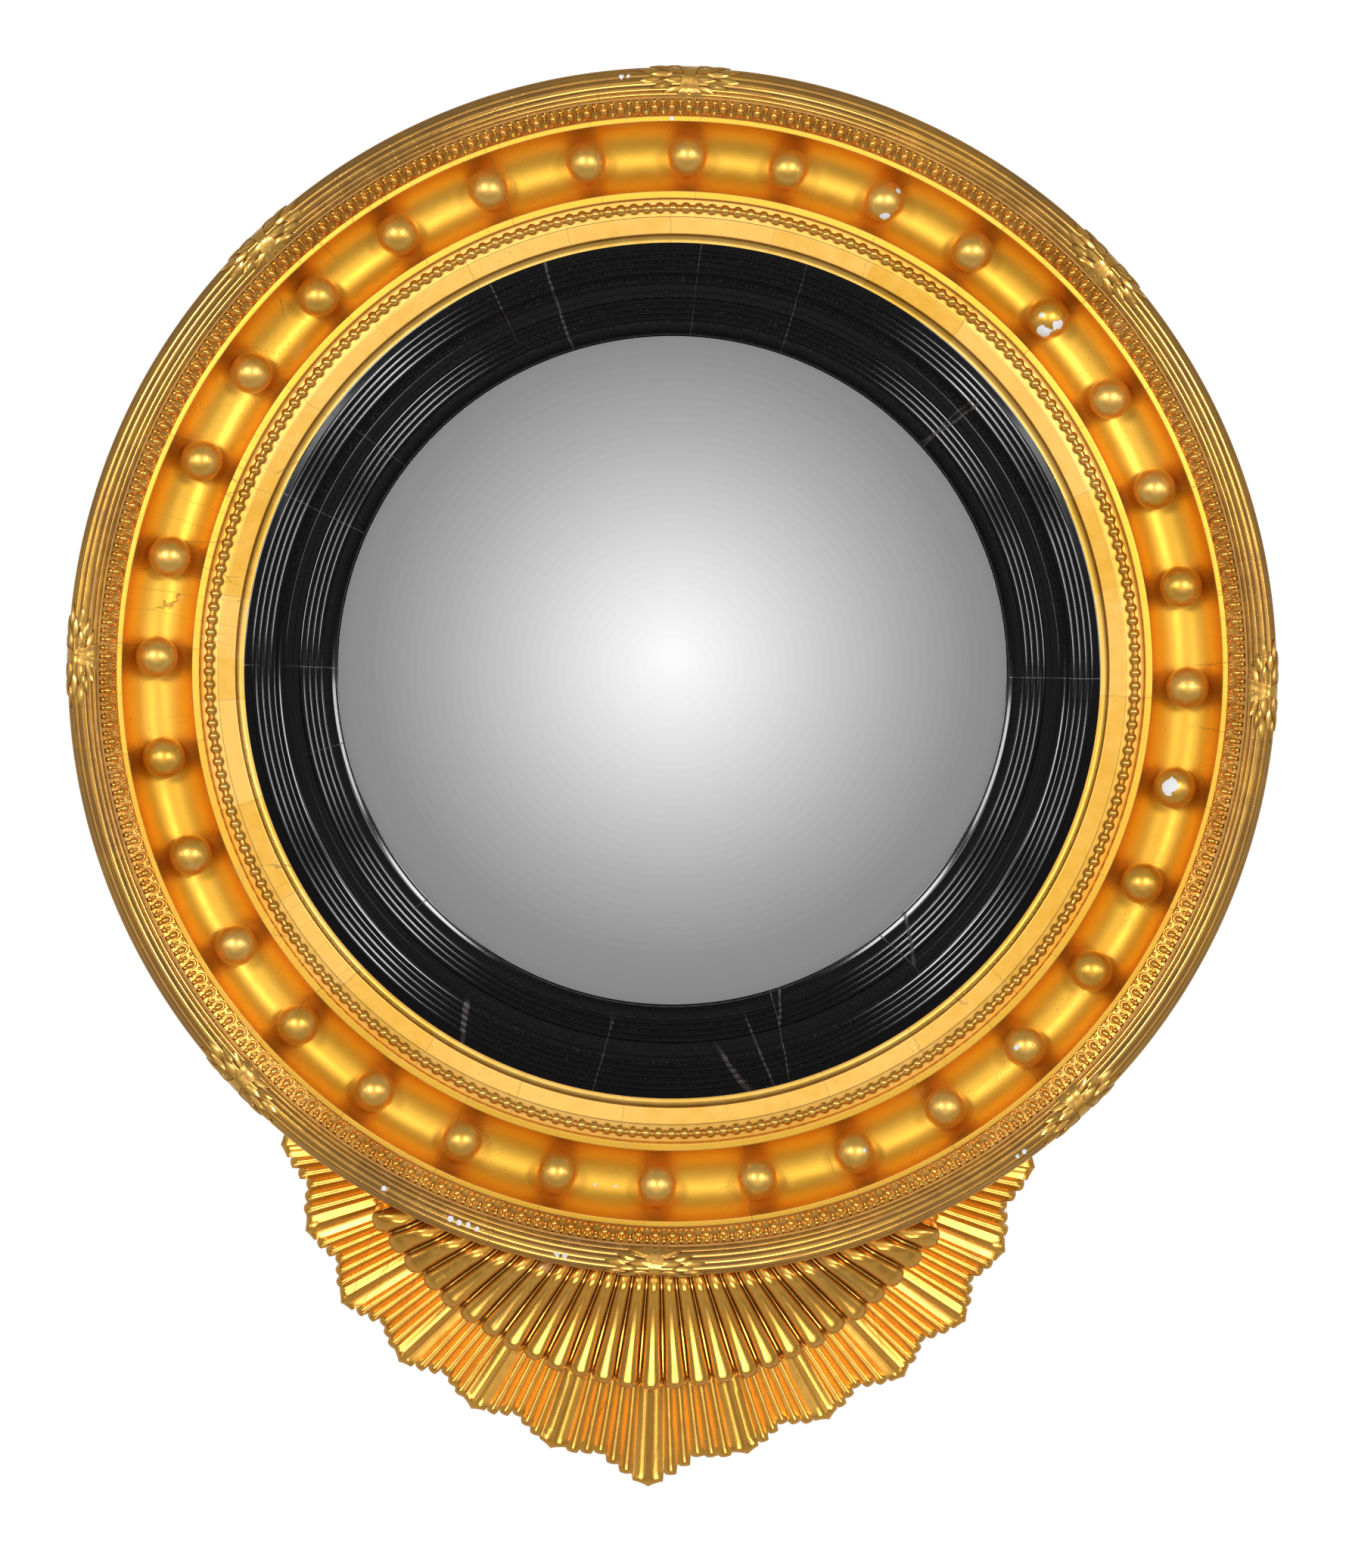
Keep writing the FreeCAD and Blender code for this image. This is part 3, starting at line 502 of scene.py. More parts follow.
def mark_section(piece, tightest=0.0011):
    """In edit mode: writes "hollow" on a section: 0 in creases, 0.5 on flats, 1 on arrises; the gilding
    paints shade in the creases.
    """
    outline = bmesh.from_edit_mesh(piece.data)
    marks = outline.verts.layers.float.new("hollow")
    walk = [outline.verts[:][0]]
    while len(walk) < len(outline.verts):
        ahead = [edge.other_vert(walk[-1]) for edge in walk[-1].link_edges]
        walk.append(next(v for v in ahead if len(walk) < 2 or v is not walk[-2]))
    spots = [Vector((v.co.x, v.co.y)) for v in walk]
    pairs = list(zip(spots, spots[1:] + spots[:1]))
    way = 1 if sum(a.cross(b) for a, b in pairs) > 0 else -1
    for i, vertex in enumerate(walk):
        before, after = spots[i] - spots[i - 1], spots[(i + 1) % len(spots)] - spots[i]
        bend = way * math.atan2(before.cross(after), before.dot(after))
        curve = bend * tightest / min(before.length, after.length)
        vertex[marks] = 0.5 + 0.5 * max(-1.0, min(1.0, curve))


def turn(name, points, steps, soft=0.0):
    """A closed section turned into a ring about the mirror's axis."""
    piece = draw_section(name, hold_corners(points))
    if soft:
        soften_corners(piece, soft)
    mark_section(piece)
    bpy.ops.mesh.select_all(action="SELECT")
    bpy.ops.mesh.spin(steps=steps, angle=math.tau, center=CENTRE, axis=AXIS)
    close_up()
    leave()
    return piece


def repeat_round(piece, number):
    """Copies all of a piece round the mirror's axis."""
    edit(piece)
    step = math.tau / number
    bpy.ops.mesh.spin(steps=number - 1, dupli=True, angle=step * (number - 1),
                      center=CENTRE, axis=AXIS)
    leave()


# --- tools: materials -----------------------------------------------------------------------
class Signal:
    """A number that varies over a surface; arithmetic on it adds Math nodes."""

    def __init__(self, finish, socket):
        self.finish = finish
        self.socket = socket

    def __add__(self, other):
        return self.finish.math("ADD", self, other)

    def __sub__(self, other):
        return self.finish.math("SUBTRACT", self, other)

    def __rsub__(self, other):
        return self.finish.math("SUBTRACT", other, self)

    def __mul__(self, other):
        return self.finish.math("MULTIPLY", self, other)

    def __truediv__(self, other):
        return self.finish.math("DIVIDE", self, other)

    def __rtruediv__(self, other):
        return self.finish.math("DIVIDE", other, self)

    def __pow__(self, other):
        return self.finish.math("POWER", self, other)

    __radd__ = __add__
    __rmul__ = __mul__


class Finish:
    """A material's nodes while they are laid out."""

    def __init__(self, tree):
        self.tree = tree
        tree.nodes.clear()
        self.place = self.node("ShaderNodeTexCoord", out="Object")
        self.x, self.y, self.z = self.split(self.place)

    def node(self, kind, settings=None, inputs=None, out=0):
        """Adds a node: its settings first, then the values or links of its sockets."""
        made = self.tree.nodes.new(kind)
        for name, value in (settings or {}).items():
            if name == "stops":
                for i, (place, bright) in enumerate(value):
                    stop = made.color_ramp.elements[i] if i < 2 else made.color_ramp.elements.new(place)
                    stop.position = place
                    stop.color = (bright, bright, bright, 1)
            else:
                setattr(made, name, value)
        for name, value in (inputs or {}).items():
            if isinstance(value, Signal):
                self.tree.links.new(value.socket, made.inputs[name])
            else:
                made.inputs[name].default_value = value
        return Signal(self, made.outputs[out]) if made.outputs else made

    def split(self, vector):
        made = self.node("ShaderNodeSeparateXYZ", inputs={0: vector}).socket.node
        return [Signal(self, socket) for socket in made.outputs]

    def vector(self, x, y, z):
        return self.node("ShaderNodeCombineXYZ", inputs={0: x, 1: y, 2: z})

    def math(self, operation, *values):
        return self.node("ShaderNodeMath", {"operation": operation}, dict(enumerate(values)))

    def mask(self, value, low, high):
        """0 below low and 1 above high, smooth between; low may be over high."""
        return self.node("ShaderNodeMapRange", {"interpolation_type": "SMOOTHSTEP"},
                         {"Value": value, "From Min": low, "From Max": high})

    def noise(self, scale, where=None, detail=3.0, rough=0.55):
        return self.node("ShaderNodeTexNoise", inputs={
            "Vector": where or self.place, "Scale": scale, "Detail": detail, "Roughness": rough})

    def cells(self, scale, where=None, feature="DISTANCE_TO_EDGE", jitter=1.0):
        return self.node("ShaderNodeTexVoronoi", {"feature": feature}, {
            "Vector": where or self.place, "Scale": scale, "Randomness": jitter})

    def attribute(self, name):
        return self.node("ShaderNodeAttribute", {"attribute_name": name}, out="Fac")

    def blend(self, part, low, high):
        """Mixes two colours."""
        low, high = [c if isinstance(c, Signal) else (*c, 1.0) for c in (low, high)]
        return self.node("ShaderNodeMix", {"data_type": "RGBA"}, {0: part, 6: low, 7: high}, out=2)

    def shade(self, colour, value):
        """A colour made lighter or darker by a number."""
        value = self.vector(value, value, value) if isinstance(value, Signal) else (value,) * 3
        return self.node("ShaderNodeVectorMath", {"operation": "MULTIPLY"}, {0: colour, 1: value})

    def bump(self, height, distance, strength=1.0):
        return self.node("ShaderNodeBump", inputs={
            "Height": height, "Distance": distance, "Strength": strength}, out="Normal")

    def surface(self, **inputs):
        """The shader; underscores in a socket's name stand for spaces."""
        sockets = {name.replace("_", " "): value for name, value in inputs.items()}
        shader = self.node("ShaderNodeBsdfPrincipled", inputs=sockets)
        self.node("ShaderNodeOutputMaterial", inputs={"Surface": shader})


def new_finish(name):
    material = bpy.data.materials.new(name)
    material.use_nodes = True
    return material, Finish(material.node_tree)


# --- finishes -----------------------------------------------------------------------------
# body and high are the leaf's colours and chips are places with their reach. leaf_radius is where
# the leaves' laps are spaced, and grain, if any, gives the coordinates of the streaks.
# dusty scales the grime, specks and streaks, and the painted shade in the creases.
Gilding = namedtuple(
    "Gilding", "body high metal roughness coat leaf_radius leaf_tone worn dusty grain chips",
    defaults=(None, ()))


def gilding(name, scene, look):
    """Gold leaf over clay and chalk: laps, mottling, fine cracks, grime and painted shade in the creases,
    rubbing and chips.
    """
    tones = sizes_of(scene.mirror_finishes)
    material, f = new_finish(name)
    radius = (f.x * f.x + f.z * f.z) ** 0.5
    angle = f.math("ARCTAN2", f.z, f.x)
    cloud = f.noise(11.0, detail=2.0)
    mottle = f.noise(95.0, detail=4.0)
    grit = f.noise(900.0, detail=2.0)
    hollow = f.attribute("hollow")
    streak = f.noise(1.0, look.grain(f, radius), detail=3.0) if look.grain else mottle

    # Each leaf has its own tone, and its edge shows as a fine line at the lap.
    leaves = round(math.tau * look.leaf_radius / tones.leaf)
    lap = angle * (leaves / math.tau) + cloud * 0.16 + mottle * 0.05
    leaf_tone = f.node("ShaderNodeTexWhiteNoise", {"noise_dimensions": "1D"},
                       {"W": f.math("FLOOR", lap)}, out="Value")
    in_leaf = f.math("FRACT", lap)
    lap_line = f.mask(in_leaf, 0.018, 0.004) * f.mask(cloud, 0.36, 0.52)

    # Hair cracks run across the turned work, and only here and there.
    across = f.vector(f.x * 22.0 / radius + mottle * 0.14, f.z * 22.0 / radius + grit * 0.03,
                      radius * 6.0)
    crack = f.mask(f.cells(1.0, across), 0.009, 0.002) * f.mask(f.noise(7.0, detail=1.0), 0.57, 0.66)

    tone = f.mask(cloud * 0.45 + mottle * 0.25 + streak * 0.30 + leaf_tone * look.leaf_tone, 0.36, 0.86)
    gold = f.blend(tone, look.body, look.high)
    gold = f.shade(gold, 0.90 + leaf_tone * (0.2 * look.leaf_tone) + grit * 0.09)
    rubbed = f.mask(hollow + (mottle - 0.5) * 0.55, 0.70, 0.92) * (look.worn * tones.wear * 2)
    patch = f.mask(f.noise(23.0, detail=5.0), 0.665, 0.72) * look.worn
    rubbed = f.math("MAXIMUM", rubbed, patch)
    gold = f.blend(rubbed * 0.62, gold, tones.bole)
    # Grime and painted shade: darker in creases and low places by "hollow", scaled by dusty.
    crease_grime_and_shade = f.mask(hollow + (mottle - 0.5) * 0.30, 0.36, 0.06) * look.dusty
    if look.grain:
        line = f.mask(streak + (cloud - 0.5) * 0.3, 0.60, 0.72) * (0.55 * look.dusty)
        crease_grime_and_shade = f.math("MAXIMUM", crease_grime_and_shade, line)
    specks = f.mask(f.cells(330.0, feature="F1"), 0.20, 0.11) * f.mask(cloud + mottle, 1.02, 1.22)
    # The darkening mixes painted shade and grime in the creases with cracks, specks and laps.
    dirt_and_shade = f.math("MAXIMUM", crease_grime_and_shade, f.math("MAXIMUM", crack * 0.45, specks * (0.75 * look.dusty)))
    dirt_and_shade = f.math("MAXIMUM", dirt_and_shade, lap_line * 0.34)
    gold = f.blend(dirt_and_shade, gold, tones.grime_and_shade)

    # Chips lie at set places, with a ragged edge.
    bare = None
    for place, reach in look.chips:
        off = f.node("ShaderNodeVectorMath", {"operation": "DISTANCE"}, {0: f.place, 1: place}, out="Value")
        chip = f.mask(off + (f.noise(210.0, detail=2.0) - 0.5) * reach * 1.6, reach, reach * 0.92)
        bare = chip if bare is None else f.math("MAXIMUM", bare, chip)
    if bare is not None:
        gold = f.blend(bare, gold, tones.gesso)
    covered = 1.0 - bare if bare is not None else 1.0

    rough = look.roughness + (mottle - 0.5) * 0.16 + (cloud - 0.5) * 0.10 + dirt_and_shade * 0.25
    height = mottle * 0.20 + grit * 0.03 + streak * 0.12 - crack * 0.35 - lap_line * 0.06
    if bare is not None:
        rough = rough * covered + bare * 0.75
        height = height - bare * 1.3
    metal = (covered - dirt_and_shade * 0.55) * (look.metal - rubbed * 0.6)
    f.surface(Base_Color=gold, Metallic=metal, Roughness=rough, Normal=f.bump(height, 0.00020, 0.65),
              Coat_Weight=look.coat, Coat_Roughness=0.30, Coat_IOR=1.45)
    return material


def along_rings(f, radius):
    """Streaks that run round the mirror's axis."""
    return f.vector(f.x * 5.0 / radius + radius * 120.0, f.z * 5.0 / radius, f.y * 120.0)


def along_rays(drop):
    """Streaks that run out along the apron's rays, which meet at a drop under the rings' centre."""
    def streaks(f, radius):
        down = f.z + drop
        turned = f.math("ARCTAN2", f.x, 0 - down)
        return f.vector(turned * 42.0, (f.x * f.x + down * down) ** 0.5 * 9.0, f.y * 12.0)
    return streaks


def ball_spot(places, ornaments, turned, across, up):
    """Place on the face of the ball at a turn; across and up are in ball radii from its middle."""
    swing = math.radians(turned)
    forward = math.sqrt(1 - across ** 2 - up ** 2)
    depth = places.face + COVE_FLOOR + BALL_LIFT - BALL_FLAT + ornaments.ball_radius * (1 + forward)
    return (places.ball_circle * math.cos(swing) + ornaments.ball_radius * across, -depth,
            places.ball_circle * math.sin(swing) + ornaments.ball_radius * up)


def ring_spot(radius, turned, depth):
    """Place at a radius, a turn from the right and a depth."""
    swing = math.radians(turned)
    return radius * math.cos(swing), -depth, radius * math.sin(swing)


def gild(piece, context, finish, slot, node, **look):
    """Gilds a piece, ties it to the frame body and hides the node that it stands for."""
    finish_piece(piece, gilding(finish, context.scene, Gilding(**look)), slot, node)


def ebonised(name, scene):
    """Black polish with a little dust in the grooves and cracks across the grain."""
    tones = sizes_of(scene.mirror_finishes)
    material, f = new_finish(name)
    radius = (f.x * f.x + f.z * f.z) ** 0.5
    hollow = f.attribute("hollow")
    film = f.noise(42.0, detail=4.0)
    dust = f.noise(1400.0, detail=1.0)
    across = f.vector(f.x * 2.6 / radius + film * 0.03, f.z * 2.6 / radius + dust * 0.006, radius * 1.1)
    some = f.mask(f.noise(10.0, detail=1.0), 0.44, 0.52)
    crack = f.mask(f.cells(1.0, across, jitter=0.9), 0.0042, 0.0012) * some
    settled = f.mask(f.z, -0.05, 0.24) * 0.5 + f.mask(f.z, -0.1, -0.3) * 0.35
    dusty = f.mask(dust, 0.60, 0.76) * (f.mask(hollow, 0.52, 0.40) * 0.5 + 0.14) * (settled + 0.12)
    tone = f.blend(dusty * 0.8, tones.ebony, tones.dust)
    tone = f.blend(crack * 0.35, tone, tones.crack)
    rough = 0.11 + (film - 0.5) * 0.05 + dusty * 0.40 + crack * 0.3
    f.surface(Base_Color=tone, Metallic=0.0, Roughness=rough, Specular_IOR_Level=0.10,
              Normal=f.bump(film * 0.2 - crack * 0.8, 0.00010, 0.35))
    return material


def silvered(name, scene):
    """Silvered glass: a clean mirror, a little duller close to the edge."""
    places = ring_places(scene)
    material, f = new_finish(name)
    radius = (f.x * f.x + f.z * f.z) ** 0.5
    edge = f.mask(radius, places.size.sight_radius - 0.012, places.size.sight_radius)
    haze = f.noise(60.0, detail=3.0)
    tone = f.blend(edge * 0.5 + haze * 0.08, (0.94, 0.94, 0.94), (0.80, 0.80, 0.81))
    f.surface(Base_Color=tone, Metallic=1.0, Roughness=0.012 + edge * 0.03 + haze * 0.012)
    return material


def bare_wood(name, tint, grain_scale):
    """Bare old wood: rings and fibres drawn out along X, and broad soft stains."""
    material, f = new_finish(name)
    drift = f.noise(2.2, detail=2.0)
    warp = f.noise(16.0, f.vector(f.x * 0.12, f.y, f.z), detail=2.0)
    along = f.vector(f.x * 0.05 + drift * 0.05, f.y, f.z + drift * 0.12 + warp * 0.012)
    rings = f.node(
        "ShaderNodeTexWave", {"wave_type": "BANDS", "bands_direction": "Z", "wave_profile": "SAW"},
        {"Vector": along, "Scale": grain_scale, "Distortion": 1.2, "Detail": 2.0, "Detail Scale": 1.2})
    fibre = f.noise(420.0, f.vector(f.x * 0.05, f.y, f.z), detail=4.0)
    stain = f.noise(3.5, detail=5.0)
    tone = f.blend(rings * 0.45 + fibre * 0.35, tint, tuple(c * 0.58 for c in tint))
    tone = f.blend(f.mask(stain, 0.42, 0.74) * 0.45, tone, tuple(c * 0.35 for c in tint))
    f.surface(Base_Color=tone, Roughness=0.72 + fibre * 0.16, Metallic=0.0,
              Normal=f.bump(rings * 0.3 + fibre * 0.6, 0.0003, 0.7))
    return material


def felt(name, tint):
    """Wool felt: fine fuzz over soft clumps."""
    material, f = new_finish(name)
    fuzz = f.noise(1600.0, detail=4.0)
    clump = f.noise(240.0, detail=3.0)
    tone = f.blend(fuzz * 0.6 + clump * 0.4, tint, tuple(min(1.0, c * 2.4) for c in tint))
    f.surface(Base_Color=tone, Roughness=0.94, Metallic=0.0, Sheen_Weight=0.4,
              Normal=f.bump(fuzz + clump * 0.5, 0.0005, 0.9))
    return material


def old_metal(name, clean, tarnish, roughness, spread):
    """Bare metal with tarnish in patches and fine scratches."""
    material, f = new_finish(name)
    patch = f.noise(70.0, detail=5.0)
    scratch = f.noise(900.0, f.vector(f.x, f.y, f.z * 0.08), detail=2.0)
    aged = f.mask(patch + (scratch - 0.5) * 0.25, 0.62 - spread, 0.86 - spread)
    tone = f.blend(aged, clean, tarnish)
    rough = roughness + aged * 0.35 + (scratch - 0.5) * 0.2
    f.surface(Base_Color=tone, Metallic=1.0 - aged * 0.45, Roughness=rough,
              Normal=f.bump(patch * 0.5 + scratch * 0.3, 0.00012, 0.6))
    return material


# --- turned rings -----------------------------------------------------------------------------
def on_rim(places, turn, radius):
    """Point of the rim's round section; 0 is outward and 90 is the front."""
    swing = math.radians(turn)
    return places.rim_centre + radius * math.cos(swing), places.rim_depth + radius * math.sin(swing)


def dome_depth(places, radius, below):
    """Depth of the glass at a radius; below is how far under its face."""
    return places.dome_centre + math.sqrt((places.size.dome_radius - below) ** 2 - radius ** 2)


class MIRROR_OT_inner_slip(bpy.types.Operator):
    """Turns the black inner slip: a hollow nose, four reeds, a step and a flat"""
    bl_idname = "mirror.inner_slip"
    bl_label = "Inner slip"

    def execute(self, context):
        p = ring_places(context.scene)
        s, face = p.size, p.face
        flange = p.flat + SLIP_TONGUE
        rebate = p.glass + GLASS_EDGE_GAP
        top = (p.inner_reeds, face + INNER_REED_HEIGHT + INNER_REED_FALL)
        foot = (p.nose, face + INNER_REED_HEIGHT)
        points = section(
            (rebate, face + SLIP_BACK), (flange, face + SLIP_BACK), (flange, face - GLUE_LINE),
            (p.flat, face - GLUE_LINE), (p.flat, face + FLAT_HEIGHT), (p.tread, face + FLAT_HEIGHT),
            (p.tread, face + TREAD_HEIGHT), (p.inner_reeds, face + TREAD_HEIGHT), top,
            *reeds(top, foot, s.reeds_per_tier, s.reed_rise),
            Bow((s.sight_radius + 0.35 * s.nose_width, foot[1] - 0.0006),
                (s.sight_radius, face + FELT_TOP + NOSE_THICKNESS)),
            (s.sight_radius, face + FELT_TOP), (rebate, face + FELT_TOP), degrees_per_step=16)
        slip = turn("black_inner_slip", points, s.steps, s.soft_edge)
        smooth(slip)
        finish_piece(slip, ebonised("ebonised_inner", context.scene), "ebonised_wood", "inner_slip")
        return {"FINISHED"}


class MIRROR_OT_outer_slip(bpy.types.Operator):
    """Turns the black outer slip: a round riser, four reeds and a band"""
    bl_idname = "mirror.outer_slip"
    bl_label = "Outer slip"

    def execute(self, context):
        p = ring_places(context.scene)
        s, face = p.size, p.face
        inner = p.flat + GLUE_LINE
        top = (p.outer_reeds, face + OUTER_REED_HEIGHT)
        foot = (p.riser, face + OUTER_REED_HEIGHT - OUTER_REED_FALL)
        points = section(
            (inner, face), (p.slip, face), (p.slip, face + OUTER_BAND_HEIGHT - OUTER_BAND_FALL),
            (p.outer_reeds, face + OUTER_BAND_HEIGHT), top,
            *reeds(top, foot, s.reeds_per_tier, s.reed_rise),
            Bow((inner + 0.62 * s.riser, face + FLAT_HEIGHT + 0.001), (inner, face + FLAT_HEIGHT)),
            degrees_per_step=16)
        slip = turn("black_outer_slip", points, s.steps, s.soft_edge)
        smooth(slip)
        finish_piece(slip, ebonised("ebonised_outer", context.scene), "ebonised_wood", "outer_slip")
        return {"FINISHED"}


class MIRROR_OT_sight_ring(bpy.types.Operator):
    """Turns the gilt ring with the quirk, the flat sight band and the bead channel"""
    bl_idname = "mirror.sight_ring"
    bl_label = "Sight ring"

    def execute(self, context):
        p = ring_places(context.scene)
        s, face = p.size, p.face
        inner = p.slip + GLUE_LINE
        points = section(
            (inner, face), (inner, face + QUIRK_HEIGHT),
            Bow((p.slip + 0.65 * s.quirk, face + QUIRK_HEIGHT + 0.0008),
                (p.quirk, face + BAND_HEIGHT - 0.001)),
            (p.quirk, face + BAND_HEIGHT), (p.sight_band, face + BAND_HEIGHT + BAND_RISE),
            (p.sight_band, face + BEAD_FLOOR), (p.channel, face + BEAD_FLOOR), (p.channel, face))
        ring = turn("gilt_sight_ring", points, s.steps, 2 * s.soft_edge)
        smooth(ring)
        tones = sizes_of(context.scene.mirror_finishes)
        gild(ring, context, "gilding_band", "gilt_band", "sight_ring",
             body=tones.matt_gold, high=tones.pale_gold, metal=0.95, roughness=0.36, coat=0.5,
             leaf_radius=(p.quirk + p.sight_band) / 2, leaf_tone=0.35, worn=0.35, dusty=0.8)
        return {"FINISHED"}


class MIRROR_OT_cove_ring(bpy.types.Operator):
    """Turns the cove: the ridge beside the beads, the deep hollow, the fillet and the egg seat"""
    bl_idname = "mirror.cove_ring"
    bl_label = "Cove ring"

    def execute(self, context):
        p = ring_places(context.scene)
        s, face = p.size, p.face
        inner = p.channel + GLUE_LINE
        points = section(
            (inner, face), (inner, face + RIDGE_HEIGHT), (p.ridge - GLUE_LINE, face + RIDGE_HEIGHT),
            (p.ridge, face + RIDGE_HEIGHT - RIDGE_EDGE_DROP),
            Bow(((p.ridge + p.cove) / 2, face + COVE_FLOOR), (p.cove, face + COVE_LIP)),
            (p.cove, face + FILLET_HEIGHT), (p.fillet, face + FILLET_HEIGHT), (p.fillet, face + SEAT_HEIGHT),
            (p.seat, face + SEAT_HEIGHT + SEAT_RISE), (p.seat, face), degrees_per_step=6)
        ring = turn("gilt_cove_ring", points, s.steps, 2 * s.soft_edge)
        smooth(ring)
        tones = sizes_of(context.scene.mirror_finishes)
        chips = [(ring_spot(p.ball_circle + 0.006, turned, face + COVE_FLOOR), reach)
                 for turned, reach in COVE_CHIPS]
        turned, reach = FILLET_CHIP
        chips.append((ring_spot(p.cove + s.fillet / 2, turned, face + FILLET_HEIGHT), reach))
        gild(ring, context, "gilding_cove", "gilt_cove", "cove_ring",
             body=tones.cove_gold, high=tones.cove_high, metal=0.94, roughness=0.44, coat=0.15,
             leaf_radius=p.ball_circle, leaf_tone=0.40, worn=0.45, dusty=0.8, chips=chips)
        return {"FINISHED"}


class MIRROR_OT_reeded_rim(bpy.types.Operator):
    """Turns the reeded round rim and the hollow under it"""
    bl_idname = "mirror.reeded_rim"
    bl_label = "Reeded rim"

    def execute(self, context):
        p = ring_places(context.scene)
        s, face = p.size, p.face
        inner = p.seat + GLUE_LINE
        root = s.rim_radius - s.rim_reed_rise
        start = on_rim(p, RIM_REED_TURNS[0], root)
        runs = [Bow(on_rim(p, (first + last) / 2, s.rim_radius), on_rim(p, last, root))
                for first, last in zip(RIM_REED_TURNS, RIM_REED_TURNS[1:])]
        foot = (p.ring_foot, face + RIM_FOOT_HEIGHT)
        under = (p.ring_foot + RIM_HOLLOW, (runs[-1].end[1] + foot[1]) / 2)
        points = section((inner, face), (inner, start[1]), start, *runs, Bow(under, foot),
                         (p.ring_foot, face), degrees_per_step=8)
        rim = turn("gilt_reeded_rim", points, s.steps, s.soft_edge)
        smooth(rim, 30)
        tones = sizes_of(context.scene.mirror_finishes)
        crown = p.rim_depth + s.rim_radius - 0.0005
        chips = [(ring_spot(p.rim_centre + step, turned, crown), RIM_CHIP_REACH)
                 for turned, step in RIM_CHIPS]
        # The rim's body colour is gold leaf darkened as painted shade.
        gild(rim, context, "gilding_rim", "gilt_rim", "reeded_rim",
             body=tones.rim_shaded_gold, high=tones.bright_gold, metal=0.95, roughness=0.17, coat=0.2,
             leaf_radius=p.rim_centre, leaf_tone=0.08, worn=0.5, dusty=1.0, grain=along_rings, chips=chips)
        return {"FINISHED"}


class MIRROR_OT_glass(bpy.types.Operator):
    """Shapes the domed glass, with the thickness behind its face"""
    bl_idname = "mirror.glass"
    bl_label = "Mirror glass"

    def execute(self, context):
        p = ring_places(context.scene)
        s = p.size

        def arc(rings, below):
            radii = [p.glass * i / rings for i in range(rings + 1)]
            return [(radius, dome_depth(p, radius, below)) for radius in radii]

        glass = turn("domed_glass", arc(40, 0.0) + arc(8, s.glass_thickness)[::-1], s.steps // 2)
        smooth(glass, 50)
        finish_piece(glass, silvered("silvered_glass", context.scene), "silvered_glass", "mirror_glass")
        return {"FINISHED"}


# --- balls, beads and eggs ------------------------------------------------------------------------
def add_ball(name, radius, place, around, along):
    """A ball with its poles on the mirror's axis."""
    deselect()
    bpy.ops.mesh.primitive_uv_sphere_add(
        segments=around, ring_count=along, radius=radius, location=place, rotation=(math.pi / 2, 0, 0))
    return latest(name)


def cut_below(place, normal):
    """In edit mode: takes off what lies beyond a plane and closes the cut, which stays selected."""
    bpy.ops.mesh.select_all(action="SELECT")
    bpy.ops.mesh.bisect(plane_co=place, plane_no=normal, use_fill=True, clear_outer=True)


class MIRROR_OT_gilt_balls(bpy.types.Operator):
    """Sets the gilt balls in the cove, each on a small collar"""
    bl_idname = "mirror.gilt_balls"
    bl_label = "Gilt balls"

    def execute(self, context):
        p = ring_places(context.scene)
        o = sizes_of(context.scene.mirror_ornaments)
        foot = p.face + COVE_FLOOR + BALL_LIFT
        centre = at(p.ball_circle, foot + o.ball_radius - BALL_FLAT)
        balls = add_ball("gilt_ball_set", o.ball_radius, centre, 40, 24)
        edit(balls)
        cut_below(at(0, foot), AXIS)
        bpy.ops.mesh.extrude_region_move(TRANSFORM_OT_translate={"value": (0, -0.0006, 0)})
        spread = o.ball_foot / math.sqrt(o.ball_radius ** 2 - (o.ball_radius - BALL_FLAT) ** 2)
        bpy.ops.transform.resize(value=(spread, 1, spread), center_override=at(p.ball_circle, foot))
        bpy.ops.mesh.extrude_region_move(TRANSFORM_OT_translate={"value": (0, 0.0008, 0)})
        close_up()
        leave()
        # Low at the foot, so the gilding paints shade where each ball stands in the cove.
        mark_relief(balls, lambda place: -place.y - foot, 0.0002, 0.0045, 0.52)
        repeat_round(balls, o.balls)
        smooth(balls, 60)
        tones = sizes_of(context.scene.mirror_finishes)
        gild(balls, context, "gilding_balls", "gilt_balls", "gilt_balls",
             body=tones.matt_gold, high=tones.pale_gold, metal=0.92, roughness=0.37, coat=0.4,
             leaf_radius=p.ball_circle, leaf_tone=0.35, worn=0.5, dusty=0.7,
             chips=[(ball_spot(p, o, *spot), reach) for spot, reach in BALL_CHIPS])
        return {"FINISHED"}


